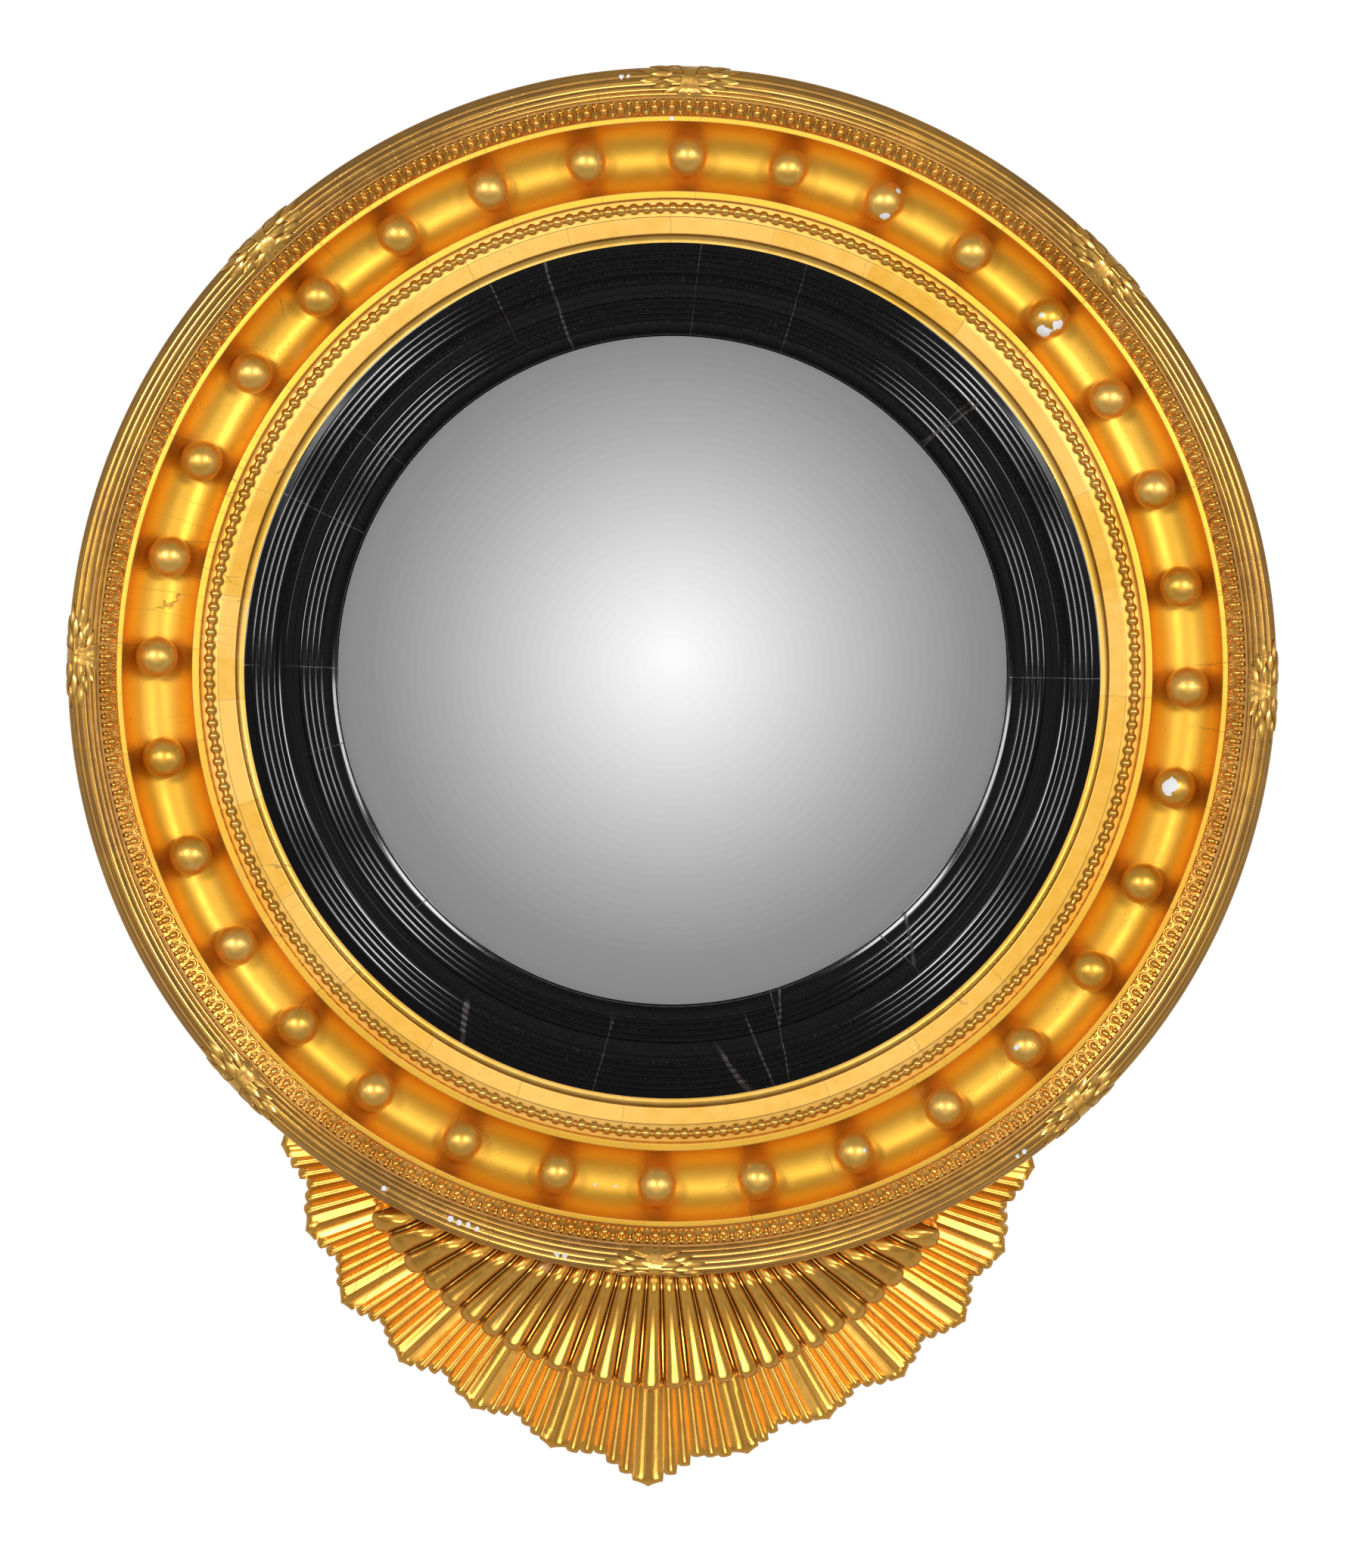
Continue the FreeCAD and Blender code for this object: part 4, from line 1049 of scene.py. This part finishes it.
class MIRROR_OT_bead_border(bpy.types.Operator):
    """Strings the beads in their channel, joined by thin collars"""
    bl_idname = "mirror.bead_border"
    bl_label = "Bead border"

    def execute(self, context):
        p = ring_places(context.scene)
        o = sizes_of(context.scene.mirror_ornaments)
        floor = p.face + BEAD_FLOOR
        middle = (p.sight_band + p.channel) / 2
        centre = at(middle, floor + BEAD_CENTRE)
        bead = add_ball("bead", o.bead_radius, centre, 12, 8)
        pitch = math.tau * middle / o.beads
        deselect()
        bpy.ops.mesh.primitive_cylinder_add(vertices=8, radius=0.0024, depth=pitch - 1.6 * o.bead_radius,
                                            location=centre + Vector((0, 0, pitch / 2)))
        collar = latest("collar")
        border = join("gilt_bead_border", [bead, collar])
        edit(border)
        cut_below(at(0, floor), AXIS)
        bpy.ops.mesh.select_all(action="SELECT")
        bpy.ops.mesh.normals_make_consistent(inside=False)
        leave()
        mark_relief(border, lambda place: -place.y - floor, 0.0006, 0.0056, 0.66)
        repeat_round(border, o.beads)
        smooth(border, 50)
        tones = sizes_of(context.scene.mirror_finishes)
        gild(border, context, "gilding_beads", "gilt_ornament", "bead_border",
             body=tones.bright_gold, high=tones.pale_gold, metal=0.95, roughness=0.17, coat=0.3,
             leaf_radius=middle, leaf_tone=0.25, worn=0.8, dusty=1.0)
        return {"FINISHED"}


def shape_grid(name, along, across, shape, worn=None):
    """A grid of faces put in place by shape(u, v), u and v from 0 to 1; worn gives "hollow"."""
    deselect()
    bpy.ops.mesh.primitive_grid_add(x_subdivisions=along, y_subdivisions=across, size=1)
    piece = latest(name)
    marks = piece.data.attributes.new("hollow", "FLOAT", "POINT").data if worn else None
    for i, vertex in enumerate(piece.data.vertices):
        u, v = vertex.co.x + 0.5, vertex.co.y + 0.5
        if worn:
            marks[i].value = worn(u, v)
        vertex.co = shape(u, v)
    return piece


def thicken(piece, move):
    """Gives an open sheet its back by extruding it, and closes it."""
    edit(piece)
    bpy.ops.mesh.extrude_region_move(TRANSFORM_OT_translate={"value": move})
    close_up()
    leave()


def egg_unit(o, pitch, span):
    """One unit of the egg border, flat: X along the border, Y from the cove to the rim, Z up."""
    parts = []
    deselect()
    bpy.ops.mesh.primitive_uv_sphere_add(segments=10, ring_count=6, radius=1, location=(0, 0.0004, 0))
    bpy.ops.transform.resize(value=(o.egg_half_width, o.egg_half_length, 0.0036))
    parts.append(latest("egg"))
    half = pitch / 2

    def shell(u, v):
        swing = math.pi * (u - 0.5)
        outward = Vector((math.sin(swing), -math.cos(swing), 0))
        centre = Vector((0, -0.0003, 0))
        ring = Vector((outward.x * 0.0044, outward.y * (span / 2 - 0.0016), 0))
        flare = 0.0019 * (v - 0.5)
        height = 0.0027 * math.sin(math.pi * v) ** 0.8
        rise = 0.0052 * max(0.0, abs(u - 0.5) * 2 - 0.72)
        return centre + ring + outward * flare * 1.1 + Vector((0, rise * 3.0, height - 0.0001))

    horseshoe = shape_grid("shell", 10, 3, shell)
    thicken(horseshoe, (0, 0, -0.0008))
    parts.append(horseshoe)
    for x, y, radius, tall in ((half, -span / 2 + 0.0024, 0.0017, 1.0), (half, 0.0016, 0.00125, 2.6),
                               (half, span / 2 - 0.0018, 0.0024, 1.0), (0, span / 2 - 0.0016, 0.0023, 1.0)):
        deselect()
        bpy.ops.mesh.primitive_uv_sphere_add(segments=6, ring_count=4, radius=radius, location=(x, y, 0))
        bpy.ops.transform.resize(value=(1, tall, 1.1))
        parts.append(latest("dot"))
    return join("gilt_egg_border", parts)


class MIRROR_OT_egg_border(bpy.types.Operator):
    """Presses the egg border: eggs in shells, darts and a row of small pearls on a strip"""
    bl_idname = "mirror.egg_border"
    bl_label = "Egg border"

    def execute(self, context):
        p = ring_places(context.scene)
        s = p.size
        o = sizes_of(context.scene.mirror_ornaments)
        low = (p.fillet + GLUE_LINE, p.face + SEAT_HEIGHT + GLUE_LINE)
        high = (p.seat, p.face + SEAT_HEIGHT + SEAT_RISE + GLUE_LINE)
        thick = EGG_STRIP
        span = math.dist(low, high)
        along = ((high[0] - low[0]) / span, (high[1] - low[1]) / span)
        middle = between(low, high, 0.5)
        strip = turn("egg_strip", [low, high, (high[0], high[1] + thick), (low[0], low[1] + thick)], s.steps)
        # The strip is marked low all over, so the gilding paints some shade on it between the eggs.
        mark_relief(strip, lambda place: 0.0, 0.0, 1.0, 0.30)
        unit = egg_unit(o, math.tau * middle[0] / o.eggs, span)
        edit(unit)
        cut_below((0, 0, -0.0003), (0, 0, -1))
        bpy.ops.mesh.select_all(action="SELECT")
        bpy.ops.mesh.normals_make_consistent(inside=False)
        leave()
        mark_relief(unit, lambda place: place.z, -0.0014, 0.0014, 0.60)
        across = Vector((along[0], -along[1], 0))
        outward = Vector((-along[1], -along[0], 0))
        turned = Matrix((-Vector((0, 0, 1)), across, outward)).transposed().to_4x4()
        unit.matrix_world = Matrix.Translation(at(middle[0], middle[1] + thick)) @ turned
        activate(unit)
        bpy.ops.object.transform_apply(location=True, rotation=True, scale=True)
        repeat_round(unit, o.eggs)
        border = join("gilt_egg_border", [unit, strip])
        smooth(border, 50)
        tones = sizes_of(context.scene.mirror_finishes)
        gild(border, context, "gilding_eggs", "gilt_ornament", "egg_border",
             body=tones.bright_gold, high=tones.pale_gold, metal=0.95, roughness=0.19, coat=0.3,
             leaf_radius=middle[0], leaf_tone=0.25, worn=0.5, dusty=0.6)
        return {"FINISHED"}


# --- ribbon ties ------------------------------------------------------------------------------------
def wrap_on_rim(places, piece):
    """Wraps flat work on the rim: X runs along it, Y over its section and Z stands out."""
    radius = places.size.rim_radius
    for vertex in piece.data.vertices:
        turned = TIE_MIDDLE_TURN - math.degrees(vertex.co.y / radius)
        place = on_rim(places, turned, radius + vertex.co.z)
        vertex.co = Matrix.Rotation(-vertex.co.x / places.rim_centre, 3, "Y") @ at(*place)


def laurel_leaf(o):
    """A laurel leaf lying flat along X from its stalk: a raised midrib and a lifted tip."""
    def shape(u, v):
        side = 2 * v - 1
        wide = o.leaf_width / 2 * math.sin(math.pi * u ** 0.85) ** 0.75 * (1 - 0.25 * u)
        rib = max(0.0, 1 - abs(side) * 2.2) * 0.0003
        height = 0.0002 + 0.0009 * math.sin(math.pi * u) * (1 - side ** 2) ** 0.5 + rib
        return Vector((u * o.leaf_length, wide * side, height))

    leaf = shape_grid("leaf", 6, 4, shape)
    thicken(leaf, (0, 0, -0.0012))
    return leaf


def ribbon_strap(o, lean, lift):
    """One strap of the cross: a band with raised edges that runs right over the rim."""
    half = o.ribbon_reach

    def shape(u, v):
        side = 2 * v - 1
        run = (2 * u - 1) * half
        over = lift * max(0.0, 1 - abs(run) / (0.4 * half)) ** 0.5
        height = 0.0007 + 0.0005 * abs(side) ** 3 * (1 if abs(side) < 0.99 else 0.2) + over
        return Vector((run * math.tan(lean) + side * o.ribbon_width / 2, run, height))

    strap = shape_grid("strap", 18, 6, shape)
    thicken(strap, (0, 0, -0.0012))
    return strap


class MIRROR_OT_ribbon_ties(bpy.types.Operator):
    """Binds the rim with crossed ribbons and laurel leaves"""
    bl_idname = "mirror.ribbon_ties"
    bl_label = "Ribbon ties"

    def execute(self, context):
        p = ring_places(context.scene)
        o = sizes_of(context.scene.mirror_ornaments)
        o.ribbon_reach = p.size.rim_radius * math.radians(84)
        leaf = laurel_leaf(o)
        parts = [ribbon_strap(o, math.radians(18), 0.0), ribbon_strap(o, math.radians(-18), 0.0007)]
        farthest = o.tie_length / 2 - o.leaf_length
        sprays = LAUREL_SPRAY + ((farthest, -0.0035, -6), (farthest, 0.0035, 6))
        for side in (1, -1):
            for x, y, splay in sprays:
                spin = Matrix.Rotation(math.radians(splay if side > 0 else 180 - splay), 4, "Z")
                parts.append(place_copy(leaf, Matrix.Translation((side * x, y, 0.0001)) @ spin))
        remove(leaf)
        ties = join("gilt_ribbon_ties", parts)
        mark_relief(ties, lambda place: place.z, 0.0002, 0.0018, 0.70)
        wrap_on_rim(p, ties)
        repeat_round(ties, o.ties)
        smooth(ties, 35)
        tones = sizes_of(context.scene.mirror_finishes)
        gild(ties, context, "gilding_ties", "gilt_ornament", "ribbon_ties",
             body=tones.bright_gold, high=tones.pale_gold, metal=0.95, roughness=0.18, coat=0.3,
             leaf_radius=p.rim_centre, leaf_tone=0.2, worn=0.8, dusty=0.6)
        return {"FINISHED"}


# --- apron --------------------------------------------------------------------------------------------
def ray_drop(places, apron):
    """From the rings' centre down to where the apron's rays meet."""
    return places.rim_edge - apron.ray_inset


def on_ray(places, apron, turned, reach, depth):
    """Place on a ray of the apron; the turn is in degrees from straight down."""
    swing = math.radians(turned)
    drop = ray_drop(places, apron)
    return Vector((reach * math.sin(swing), -depth, -drop - reach * math.cos(swing)))


def reach_at(places, apron, turned, radius):
    """Reach along a ray at which it lies at a radius from the ring's centre."""
    drop = ray_drop(places, apron)
    down = drop * math.cos(math.radians(turned))
    return math.sqrt(down ** 2 - drop ** 2 + radius ** 2) - down


def bare_back(piece, finish):
    """Gives the flat back of a carved tier its own finish."""
    piece.data.materials.append(finish)
    for face in piece.data.polygons:
        if face.normal.y > 0.9:
            face.material_index = 1


def rest_on_back(piece, depth):
    """Extrudes a carved face straight back to a flat one at a depth, and closes it."""
    edit(piece)
    bpy.ops.mesh.extrude_region_move()
    bpy.ops.transform.resize(value=(1, 0, 1), center_override=at(0, depth))
    close_up()
    leave()


def lobe_height(u):
    """Carved height across one lobe, 0 on its crest and -1 in its grooves; u from -1 to 1."""
    u = abs(u)
    if u <= LOBE_EDGE:
        return max(0.0, 1 - (u / 0.83) ** 2.6) ** 0.55 - 1
    return -1.0 if u <= GROOVE_EDGE else FILLET_DEPTH


class MIRROR_OT_apron_front_tier(bpy.types.Operator):
    """Carves the fan of lobes under the rim"""
    bl_idname = "mirror.apron_front_tier"
    bl_label = "Apron fan"

    def execute(self, context):
        p = ring_places(context.scene)
        a = sizes_of(context.scene.mirror_apron)
        tier_front = WALL_GAP + a.back_thickness
        bulge = p.rim_depth - a.bulge_drop
        start_depth = p.rim_depth - FAN_START_DROP
        middle = (a.lobes - 1) / 2
        last = math.degrees(a.lobe_pitch) * (a.lobes - 1) / 2
        columns = [(i, u) for i in range(a.lobes) for u in LOBE_COLUMNS] + [(a.lobes - 1, 1)]
        chance = random.Random(7)
        reaches = []
        for lobe in range(a.lobes):
            outward = abs((lobe - middle) * math.degrees(a.lobe_pitch) / last) ** 3
            longer = (a.lobe_end_reach - a.lobe_reach) * outward
            reaches.append(a.lobe_reach + longer + chance.uniform(-0.0012, 0.0012))

        drop = ray_drop(p, a)
        whole_run = drop + a.lobe_reach - p.rim_edge - a.bulge_offset

        def crest(radius):
            run = radius - p.rim_edge - a.bulge_offset
            if run < 0:
                share_up = 1 + run / (a.bulge_offset + p.rim_edge - p.ring_foot)
                return bulge - (bulge - start_depth) * (1 - share_up) ** 1.7
            fall = a.lobe_fall * whole_run
            eased = min(1.0, run / whole_run)
            return bulge - fall * (1 - (1 - eased) ** 1.8) * min(1.0, 0.4 + run / 0.02)

        def shape(u, v):
            lobe, side = columns[round(u * (len(columns) - 1))]
            turned = (lobe - middle + side / 2) * math.degrees(a.lobe_pitch)
            first = reach_at(p, a, turned, p.ring_foot + FAN_START)
            near = min(a.lobes - 1, max(0, lobe + (1 if side > 0 else -1)))
            shared = min(reaches[lobe], reaches[near]) - FAN_SCALLOP
            tip = reaches[lobe] - (reaches[lobe] - shared) * (1 - math.sqrt(1 - abs(side) ** 2.4))
            reach = first + (tip - first) * v
            foot = on_ray(p, a, turned, reach, 0)
            radius = math.hypot(foot.x, foot.z)
            width = reach * a.lobe_pitch
            rise = a.lobe_rise * min(1.0, width / 0.015)
            merged = min(1.0, max(0.0, (v - 0.62) / 0.36))
            depth = crest(radius) + rise * lobe_height(side) * (1 - 0.45 * merged ** 2)
            over = min(1.0, max(0.0, 1 - (tip - reach) / FAN_TIP_LENGTH))
            depth -= FAN_TIP_ROLL * (1 - math.sqrt(1 - 0.98 * over ** 2))
            foot.y = -max(depth, tier_front + 0.001)
            return foot

        # Hollow for the gilding: high at the tips, which are rubbed, and low in the grooves, where it paints
        # shade.
        def worn(u, v):
            side = abs(columns[round(u * (len(columns) - 1))][1])
            if v > 0.955:
                return 0.84
            return 0.55 - 0.45 * max(0.0, (side - 0.60) / 0.24) ** 1.6 if side < 0.9 else 0.60

        fan = shape_grid("gilt_apron_fan", len(columns) - 1, FAN_ROWS, shape, worn)
        rest_on_back(fan, tier_front)
        smooth(fan, 38)
        tones = sizes_of(context.scene.mirror_finishes)
        gild(fan, context, "gilding_fan", "gilt_carving", "apron_front_tier",
             body=tones.carving_gold, high=tones.carving_high, metal=0.95, roughness=0.24, coat=0.35,
             leaf_radius=p.rim_centre, leaf_tone=0.1, worn=0.9, dusty=1.0, grain=along_rays(drop))
        bare_back(fan, bare_wood("fan_back_pine", tones.pine, PINE_GRAIN))
        return {"FINISHED"}


def blade_column(turned, reach, part):
    """Column of a blade, from 0 on its crest to 1 at its end: turn, reach and carved height."""
    return (turned, reach - 0.0042 * part, 0.55 - 1.05 * math.sin(math.pi * part ** 0.8))


class MIRROR_OT_apron_back_tier(bpy.types.Operator):
    """Carves the pointed tier behind the fan: broad blades with narrow flutes between them"""
    bl_idname = "mirror.apron_back_tier"
    bl_label = "Apron points"

    def execute(self, context):
        p = ring_places(context.scene)
        a = sizes_of(context.scene.mirror_apron)
        front = WALL_GAP + a.back_thickness
        tips = [(-turned, reach) for turned, reach in reversed(BACK_TIER_TIPS[1:])] + list(BACK_TIER_TIPS)
        # Each column is (turn, reach of the edge, carved height from -1 to 1).
        columns = []
        for (low_turn, low_reach), (high_turn, high_reach) in zip(tips, tips[1:]):
            gap = high_turn - low_turn
            notch = (low_reach + high_reach) / 2 - a.notch
            blade = a.blade_share / 2
            for part in BLADE_PARTS[:-1]:
                columns.append(blade_column(low_turn + gap * blade * part, low_reach, part))
            for flute in range(a.narrow_flutes):
                for w in FLUTE_PARTS:
                    share_across = blade + (1 - 2 * blade) * (flute + w) / a.narrow_flutes
                    middle = blade + (1 - 2 * blade) * (flute + 0.5) / a.narrow_flutes
                    fall = 1 - abs(2 * middle - 1)
                    edge = (low_reach if middle < 0.5 else high_reach) * (1 - fall) + notch * fall
                    scallop = 0.0030 * math.sqrt(max(0.0, 1 - (2 * w - 1) ** 2)) - 0.0012
                    height = 0.5 - 1.5 * math.sin(math.pi * w) ** 0.8
                    columns.append((low_turn + gap * share_across, edge + scallop, height))
            for part in BLADE_PARTS[:0:-1]:
                columns.append(blade_column(high_turn - gap * blade * part, high_reach, part))
        tip_turn, tip_reach = tips[-1]
        columns.append((tip_turn, tip_reach, 0.55))
        end_turn, end_reach = BACK_TIER_END
        ends = []
        for part in END_PARTS:
            height = 0.5 - 1.4 * math.sin(math.pi * part * 2) ** 2
            reach = tip_reach + (end_reach - tip_reach) * part
            ends.append((tip_turn + (end_turn - tip_turn) * part, reach, height))
        columns += ends
        columns = [(-turned, reach, height) for turned, reach, height in reversed(ends)] + columns

        def shape(u, v):
            turned, reach, height = columns[round(u * (len(columns) - 1))]
            first = reach_at(p, a, turned, p.ring_foot + CARVING_GAP)
            run_out = TIER_ROWS[round(v * (len(TIER_ROWS) - 1))]
            here = first + (reach - first) * run_out
            grown = min(1.0, max(0.0, (here - 0.150) / 0.085))
            depth = front + height * a.flute_depth * 0.55 * grown
            over = min(1.0, max(0.0, 1 - (reach - here) / POINT_ROLL_LENGTH))
            depth -= POINT_ROLL * (1 - math.sqrt(1 - 0.98 * over ** 2))
            return on_ray(p, a, turned, here, min(depth, front + 0.0009))

        # Hollow for the gilding: low in the flutes, where it paints shade, and higher on the crests.
        def worn(u, v):
            height = columns[round(u * (len(columns) - 1))][2]
            return 0.47 + 0.20 * height

        tier = shape_grid("gilt_apron_points", len(columns) - 1, len(TIER_ROWS) - 1, shape, worn)
        rest_on_back(tier, WALL_GAP)
        smooth(tier, 38)
        tones = sizes_of(context.scene.mirror_finishes)
        gild(tier, context, "gilding_points", "gilt_carving", "apron_back_tier",
             body=tones.carving_gold, high=tones.carving_high, metal=0.95, roughness=0.26, coat=0.35,
             leaf_radius=p.rim_centre, leaf_tone=0.1, worn=0.8, dusty=0.6, grain=along_rays(ray_drop(p, a)))
        bare_back(tier, bare_wood("points_back_pine", tones.pine, PINE_GRAIN))
        return {"FINISHED"}


# --- back and fixings ---------------------------------------------------------------------------------
class MIRROR_OT_back_and_fixings(bpy.types.Operator):
    """Gives the parts at the back their bare wood, felt and metal"""
    bl_idname = "mirror.back_and_fixings"
    bl_label = "Back and fixings"

    def execute(self, context):
        tones = sizes_of(context.scene.mirror_finishes)
        pine = bare_wood("old_pine", tones.pine, PINE_GRAIN)
        board = bare_wood("backboard_pine", tuple(c * 0.85 for c in tones.pine), 19.0)
        beech = bare_wood("turned_beech", (0.48, 0.30, 0.17), 60.0)
        wool = felt("brown_felt", (0.055, 0.045, 0.036))
        iron = old_metal("wrought_iron", (0.10, 0.095, 0.09), (0.075, 0.035, 0.018), 0.45, 0.12)
        steel = old_metal("dull_steel", (0.36, 0.35, 0.33), (0.12, 0.075, 0.05), 0.38, 0.08)
        brass = old_metal("aged_brass", (0.62, 0.41, 0.14), (0.16, 0.10, 0.045), 0.30, 0.10)
        dressed = {
            "back_ring": pine, "backboard": board, "glass_blocks": pine, "ball_pegs": beech,
            "glass_felt": wool, "wall_pads": wool, "apron_plates": iron, "backboard_screws": brass,
            "hanger_screws": brass, "hanger_plate_left": brass, "hanger_plate_right": brass,
            "hanger_ring_left": brass, "hanger_ring_right": brass, "apron_plate_screws": steel,
            "apron_tier_screws": steel, "block_screws": steel, "ring_screws": steel,
        }
        for node, finish in dressed.items():
            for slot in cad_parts[node].material_slots:
                slot.material = finish
        return {"FINISHED"}


# --- stage --------------------------------------------------------------------------------------------
# Brightness of the surroundings by angle from the camera's side, in half turns.
SKY = ((0.0, 1.0), (0.059, 0.807), (0.118, 0.604), (0.178, 0.423), (0.239, 0.283), (0.29, 0.24))
FLOOR_SIDE = ((0.36, 0.44), (0.5, 0.46), (1.0, 0.7))
CEILING_SIDE = ((0.36, 0.34), (0.5, 0.30), (1.0, 0.6))


def lamp_group(name, state, *pieces):
    """Pieces that a lamp lights, or with EXCLUDE, that it alone leaves out."""
    group = bpy.data.collections.new(name)
    for piece in pieces:
        group.objects.link(bpy.data.objects[piece])
    for member in group.collection_objects:
        member.light_linking.link_state = state
    return group


def add_soft_light(name, place, power, width, lit):
    """A soft light that faces the rings' centre and lights one group of pieces."""
    deselect()
    bpy.ops.object.light_add(type="AREA", location=place)
    light = bpy.context.object
    light.name = name
    light.rotation_euler = (-Vector(place)).to_track_quat("-Z", "Y").to_euler()
    light.data.energy = power
    light.data.size = width
    light.light_linking.receiver_collection = lit


class MIRROR_OT_stage(bpy.types.Operator):
    """Sets up the camera, the soft light and the pale floor"""
    bl_idname = "mirror.stage"
    bl_label = "Stage"

    def execute(self, context):
        stage = sizes_of(context.scene.mirror_stage)
        deselect()
        bpy.ops.object.camera_add(location=(0, -stage.distance, stage.height))
        camera = context.object
        camera.name = "studio_camera"
        camera.rotation_euler = (Matrix.Rotation(math.pi / 2 - stage.pitch, 3, "X")
                                 @ Matrix.Rotation(stage.roll, 3, "Z")).to_euler()
        camera.data.lens = stage.lens
        camera.data.sensor_width = 36
        camera.data.shift_y = CAMERA_SHIFT
        context.scene.camera = camera

        bpy.ops.mesh.primitive_plane_add(size=1)
        floor = latest("pale_floor")
        edit(floor)
        bpy.ops.transform.resize(value=(4.0, 3.2, 1))
        bpy.ops.transform.translate(value=(0, -1.6, -stage.floor_drop))
        leave()
        floor.visible_glossy = False
        material, f = new_finish("floor_paper")
        paper = f.noise(3.0)
        f.surface(Base_Color=f.blend(paper, (0.86, 0.86, 0.85), (0.90, 0.90, 0.89)), Roughness=0.9)
        floor.data.materials.append(material)

        all_but_glass = lamp_group("not_the_glass", "EXCLUDE", "domed_glass")
        carving = lamp_group("rim_and_apron", "INCLUDE", "gilt_apron_fan", "gilt_apron_points",
                             "gilt_reeded_rim", "gilt_ribbon_ties")
        slips = lamp_group("black_slips", "INCLUDE", "black_inner_slip", "black_outer_slip")
        swing = stage.light_swing
        for name, side in (("left", -1), ("right", 1)):
            place = (side * 2.8 * math.sin(swing), -2.8 * math.cos(swing), 0.6)
            add_soft_light("soft_light_" + name, place, stage.light_power, 0.5, all_but_glass)
            place = (side * 2.1, -1.7, 0.2)
            add_soft_light("side_light_" + name, place, stage.light_power * 0.2, 0.7, all_but_glass)
            for level, across, height, strength in (("high", 1.6, 1.4, 10), ("low", 2.1, 0.4, 7)):
                place = (side * across, -1.9, height)
                power = stage.light_power * strength
                add_soft_light("glint_light_%s_%s" % (name, level), place, power, 0.8, slips)
        add_soft_light("low_light", (0, -2.2, -1.9), stage.light_power * 1.4, 1.2, carving)

        world = bpy.data.worlds.new("white_studio")
        context.scene.world = world
        world.use_nodes = True
        sky = Finish(world.node_tree)
        direction = sky.split(sky.node("ShaderNodeTexCoord", out="Generated"))
        away = sky.math("ARCCOSINE", 0 - direction[1]) / math.pi
        below = sky.node("ShaderNodeValToRGB", {"stops": SKY + FLOOR_SIDE}, {0: away}, out="Color")
        above = sky.node("ShaderNodeValToRGB", {"stops": SKY + CEILING_SIDE}, {0: away}, out="Color")
        bright = sky.blend(sky.mask(direction[2], -0.35, 0.45), below, above)
        seen = sky.node("ShaderNodeLightPath", out="Is Camera Ray")
        shown = sky.blend(seen, bright, (1.0, 1.0, 1.0))
        lamp = sky.node("ShaderNodeBackground", inputs={"Color": shown, "Strength": 1.06})
        sky.node("ShaderNodeOutputWorld", inputs={"Surface": lamp})
        context.scene.view_settings.view_transform = "Standard"
        return {"FINISHED"}



GROUPS = {
    "mirror_rings": MirrorRingSizes,
    "mirror_ornaments": MirrorOrnamentSizes,
    "mirror_apron": MirrorApronSizes,
    "mirror_finishes": MirrorFinishes,
    "mirror_stage": MirrorStage,
}
OPERATORS = (
    MIRROR_OT_inner_slip, MIRROR_OT_outer_slip, MIRROR_OT_sight_ring, MIRROR_OT_cove_ring,
    MIRROR_OT_reeded_rim, MIRROR_OT_glass, MIRROR_OT_gilt_balls, MIRROR_OT_bead_border,
    MIRROR_OT_egg_border, MIRROR_OT_ribbon_ties, MIRROR_OT_apron_front_tier,
    MIRROR_OT_apron_back_tier, MIRROR_OT_back_and_fixings, MIRROR_OT_stage,
)


class MIRROR_PT_panel(bpy.types.Panel):
    """Lists the sizes and the pieces"""
    bl_idname = "MIRROR_PT_panel"
    bl_label = "Convex mirror"
    bl_space_type = "VIEW_3D"
    bl_region_type = "UI"
    bl_category = "Mirror"

    def draw(self, context):
        for operator in OPERATORS:
            self.layout.operator(operator.bl_idname)
        for group, kind in GROUPS.items():
            box = self.layout.box()
            box.label(text=kind.__doc__)
            for name in kind.__annotations__:
                box.prop(getattr(context.scene, group), name)


def register():
    for group, kind in GROUPS.items():
        bpy.utils.register_class(kind)
        setattr(bpy.types.Scene, group, bpy.props.PointerProperty(type=kind))
    for kind in (*OPERATORS, MIRROR_PT_panel):
        bpy.utils.register_class(kind)


def unregister():
    for kind in (MIRROR_PT_panel, *reversed(OPERATORS)):
        bpy.utils.unregister_class(kind)
    for group, kind in GROUPS.items():
        delattr(bpy.types.Scene, group)
        bpy.utils.unregister_class(kind)


def main():
    register()
    bpy.ops.mirror.inner_slip()
    bpy.ops.mirror.outer_slip()
    bpy.ops.mirror.sight_ring()
    bpy.ops.mirror.cove_ring()
    bpy.ops.mirror.reeded_rim()
    bpy.ops.mirror.glass()
    bpy.ops.mirror.gilt_balls()
    bpy.ops.mirror.bead_border()
    bpy.ops.mirror.egg_border()
    bpy.ops.mirror.ribbon_ties()
    bpy.ops.mirror.apron_front_tier()
    bpy.ops.mirror.apron_back_tier()
    bpy.ops.mirror.back_and_fixings()
    bpy.ops.mirror.stage()


if __name__ == "__main__":
    main()
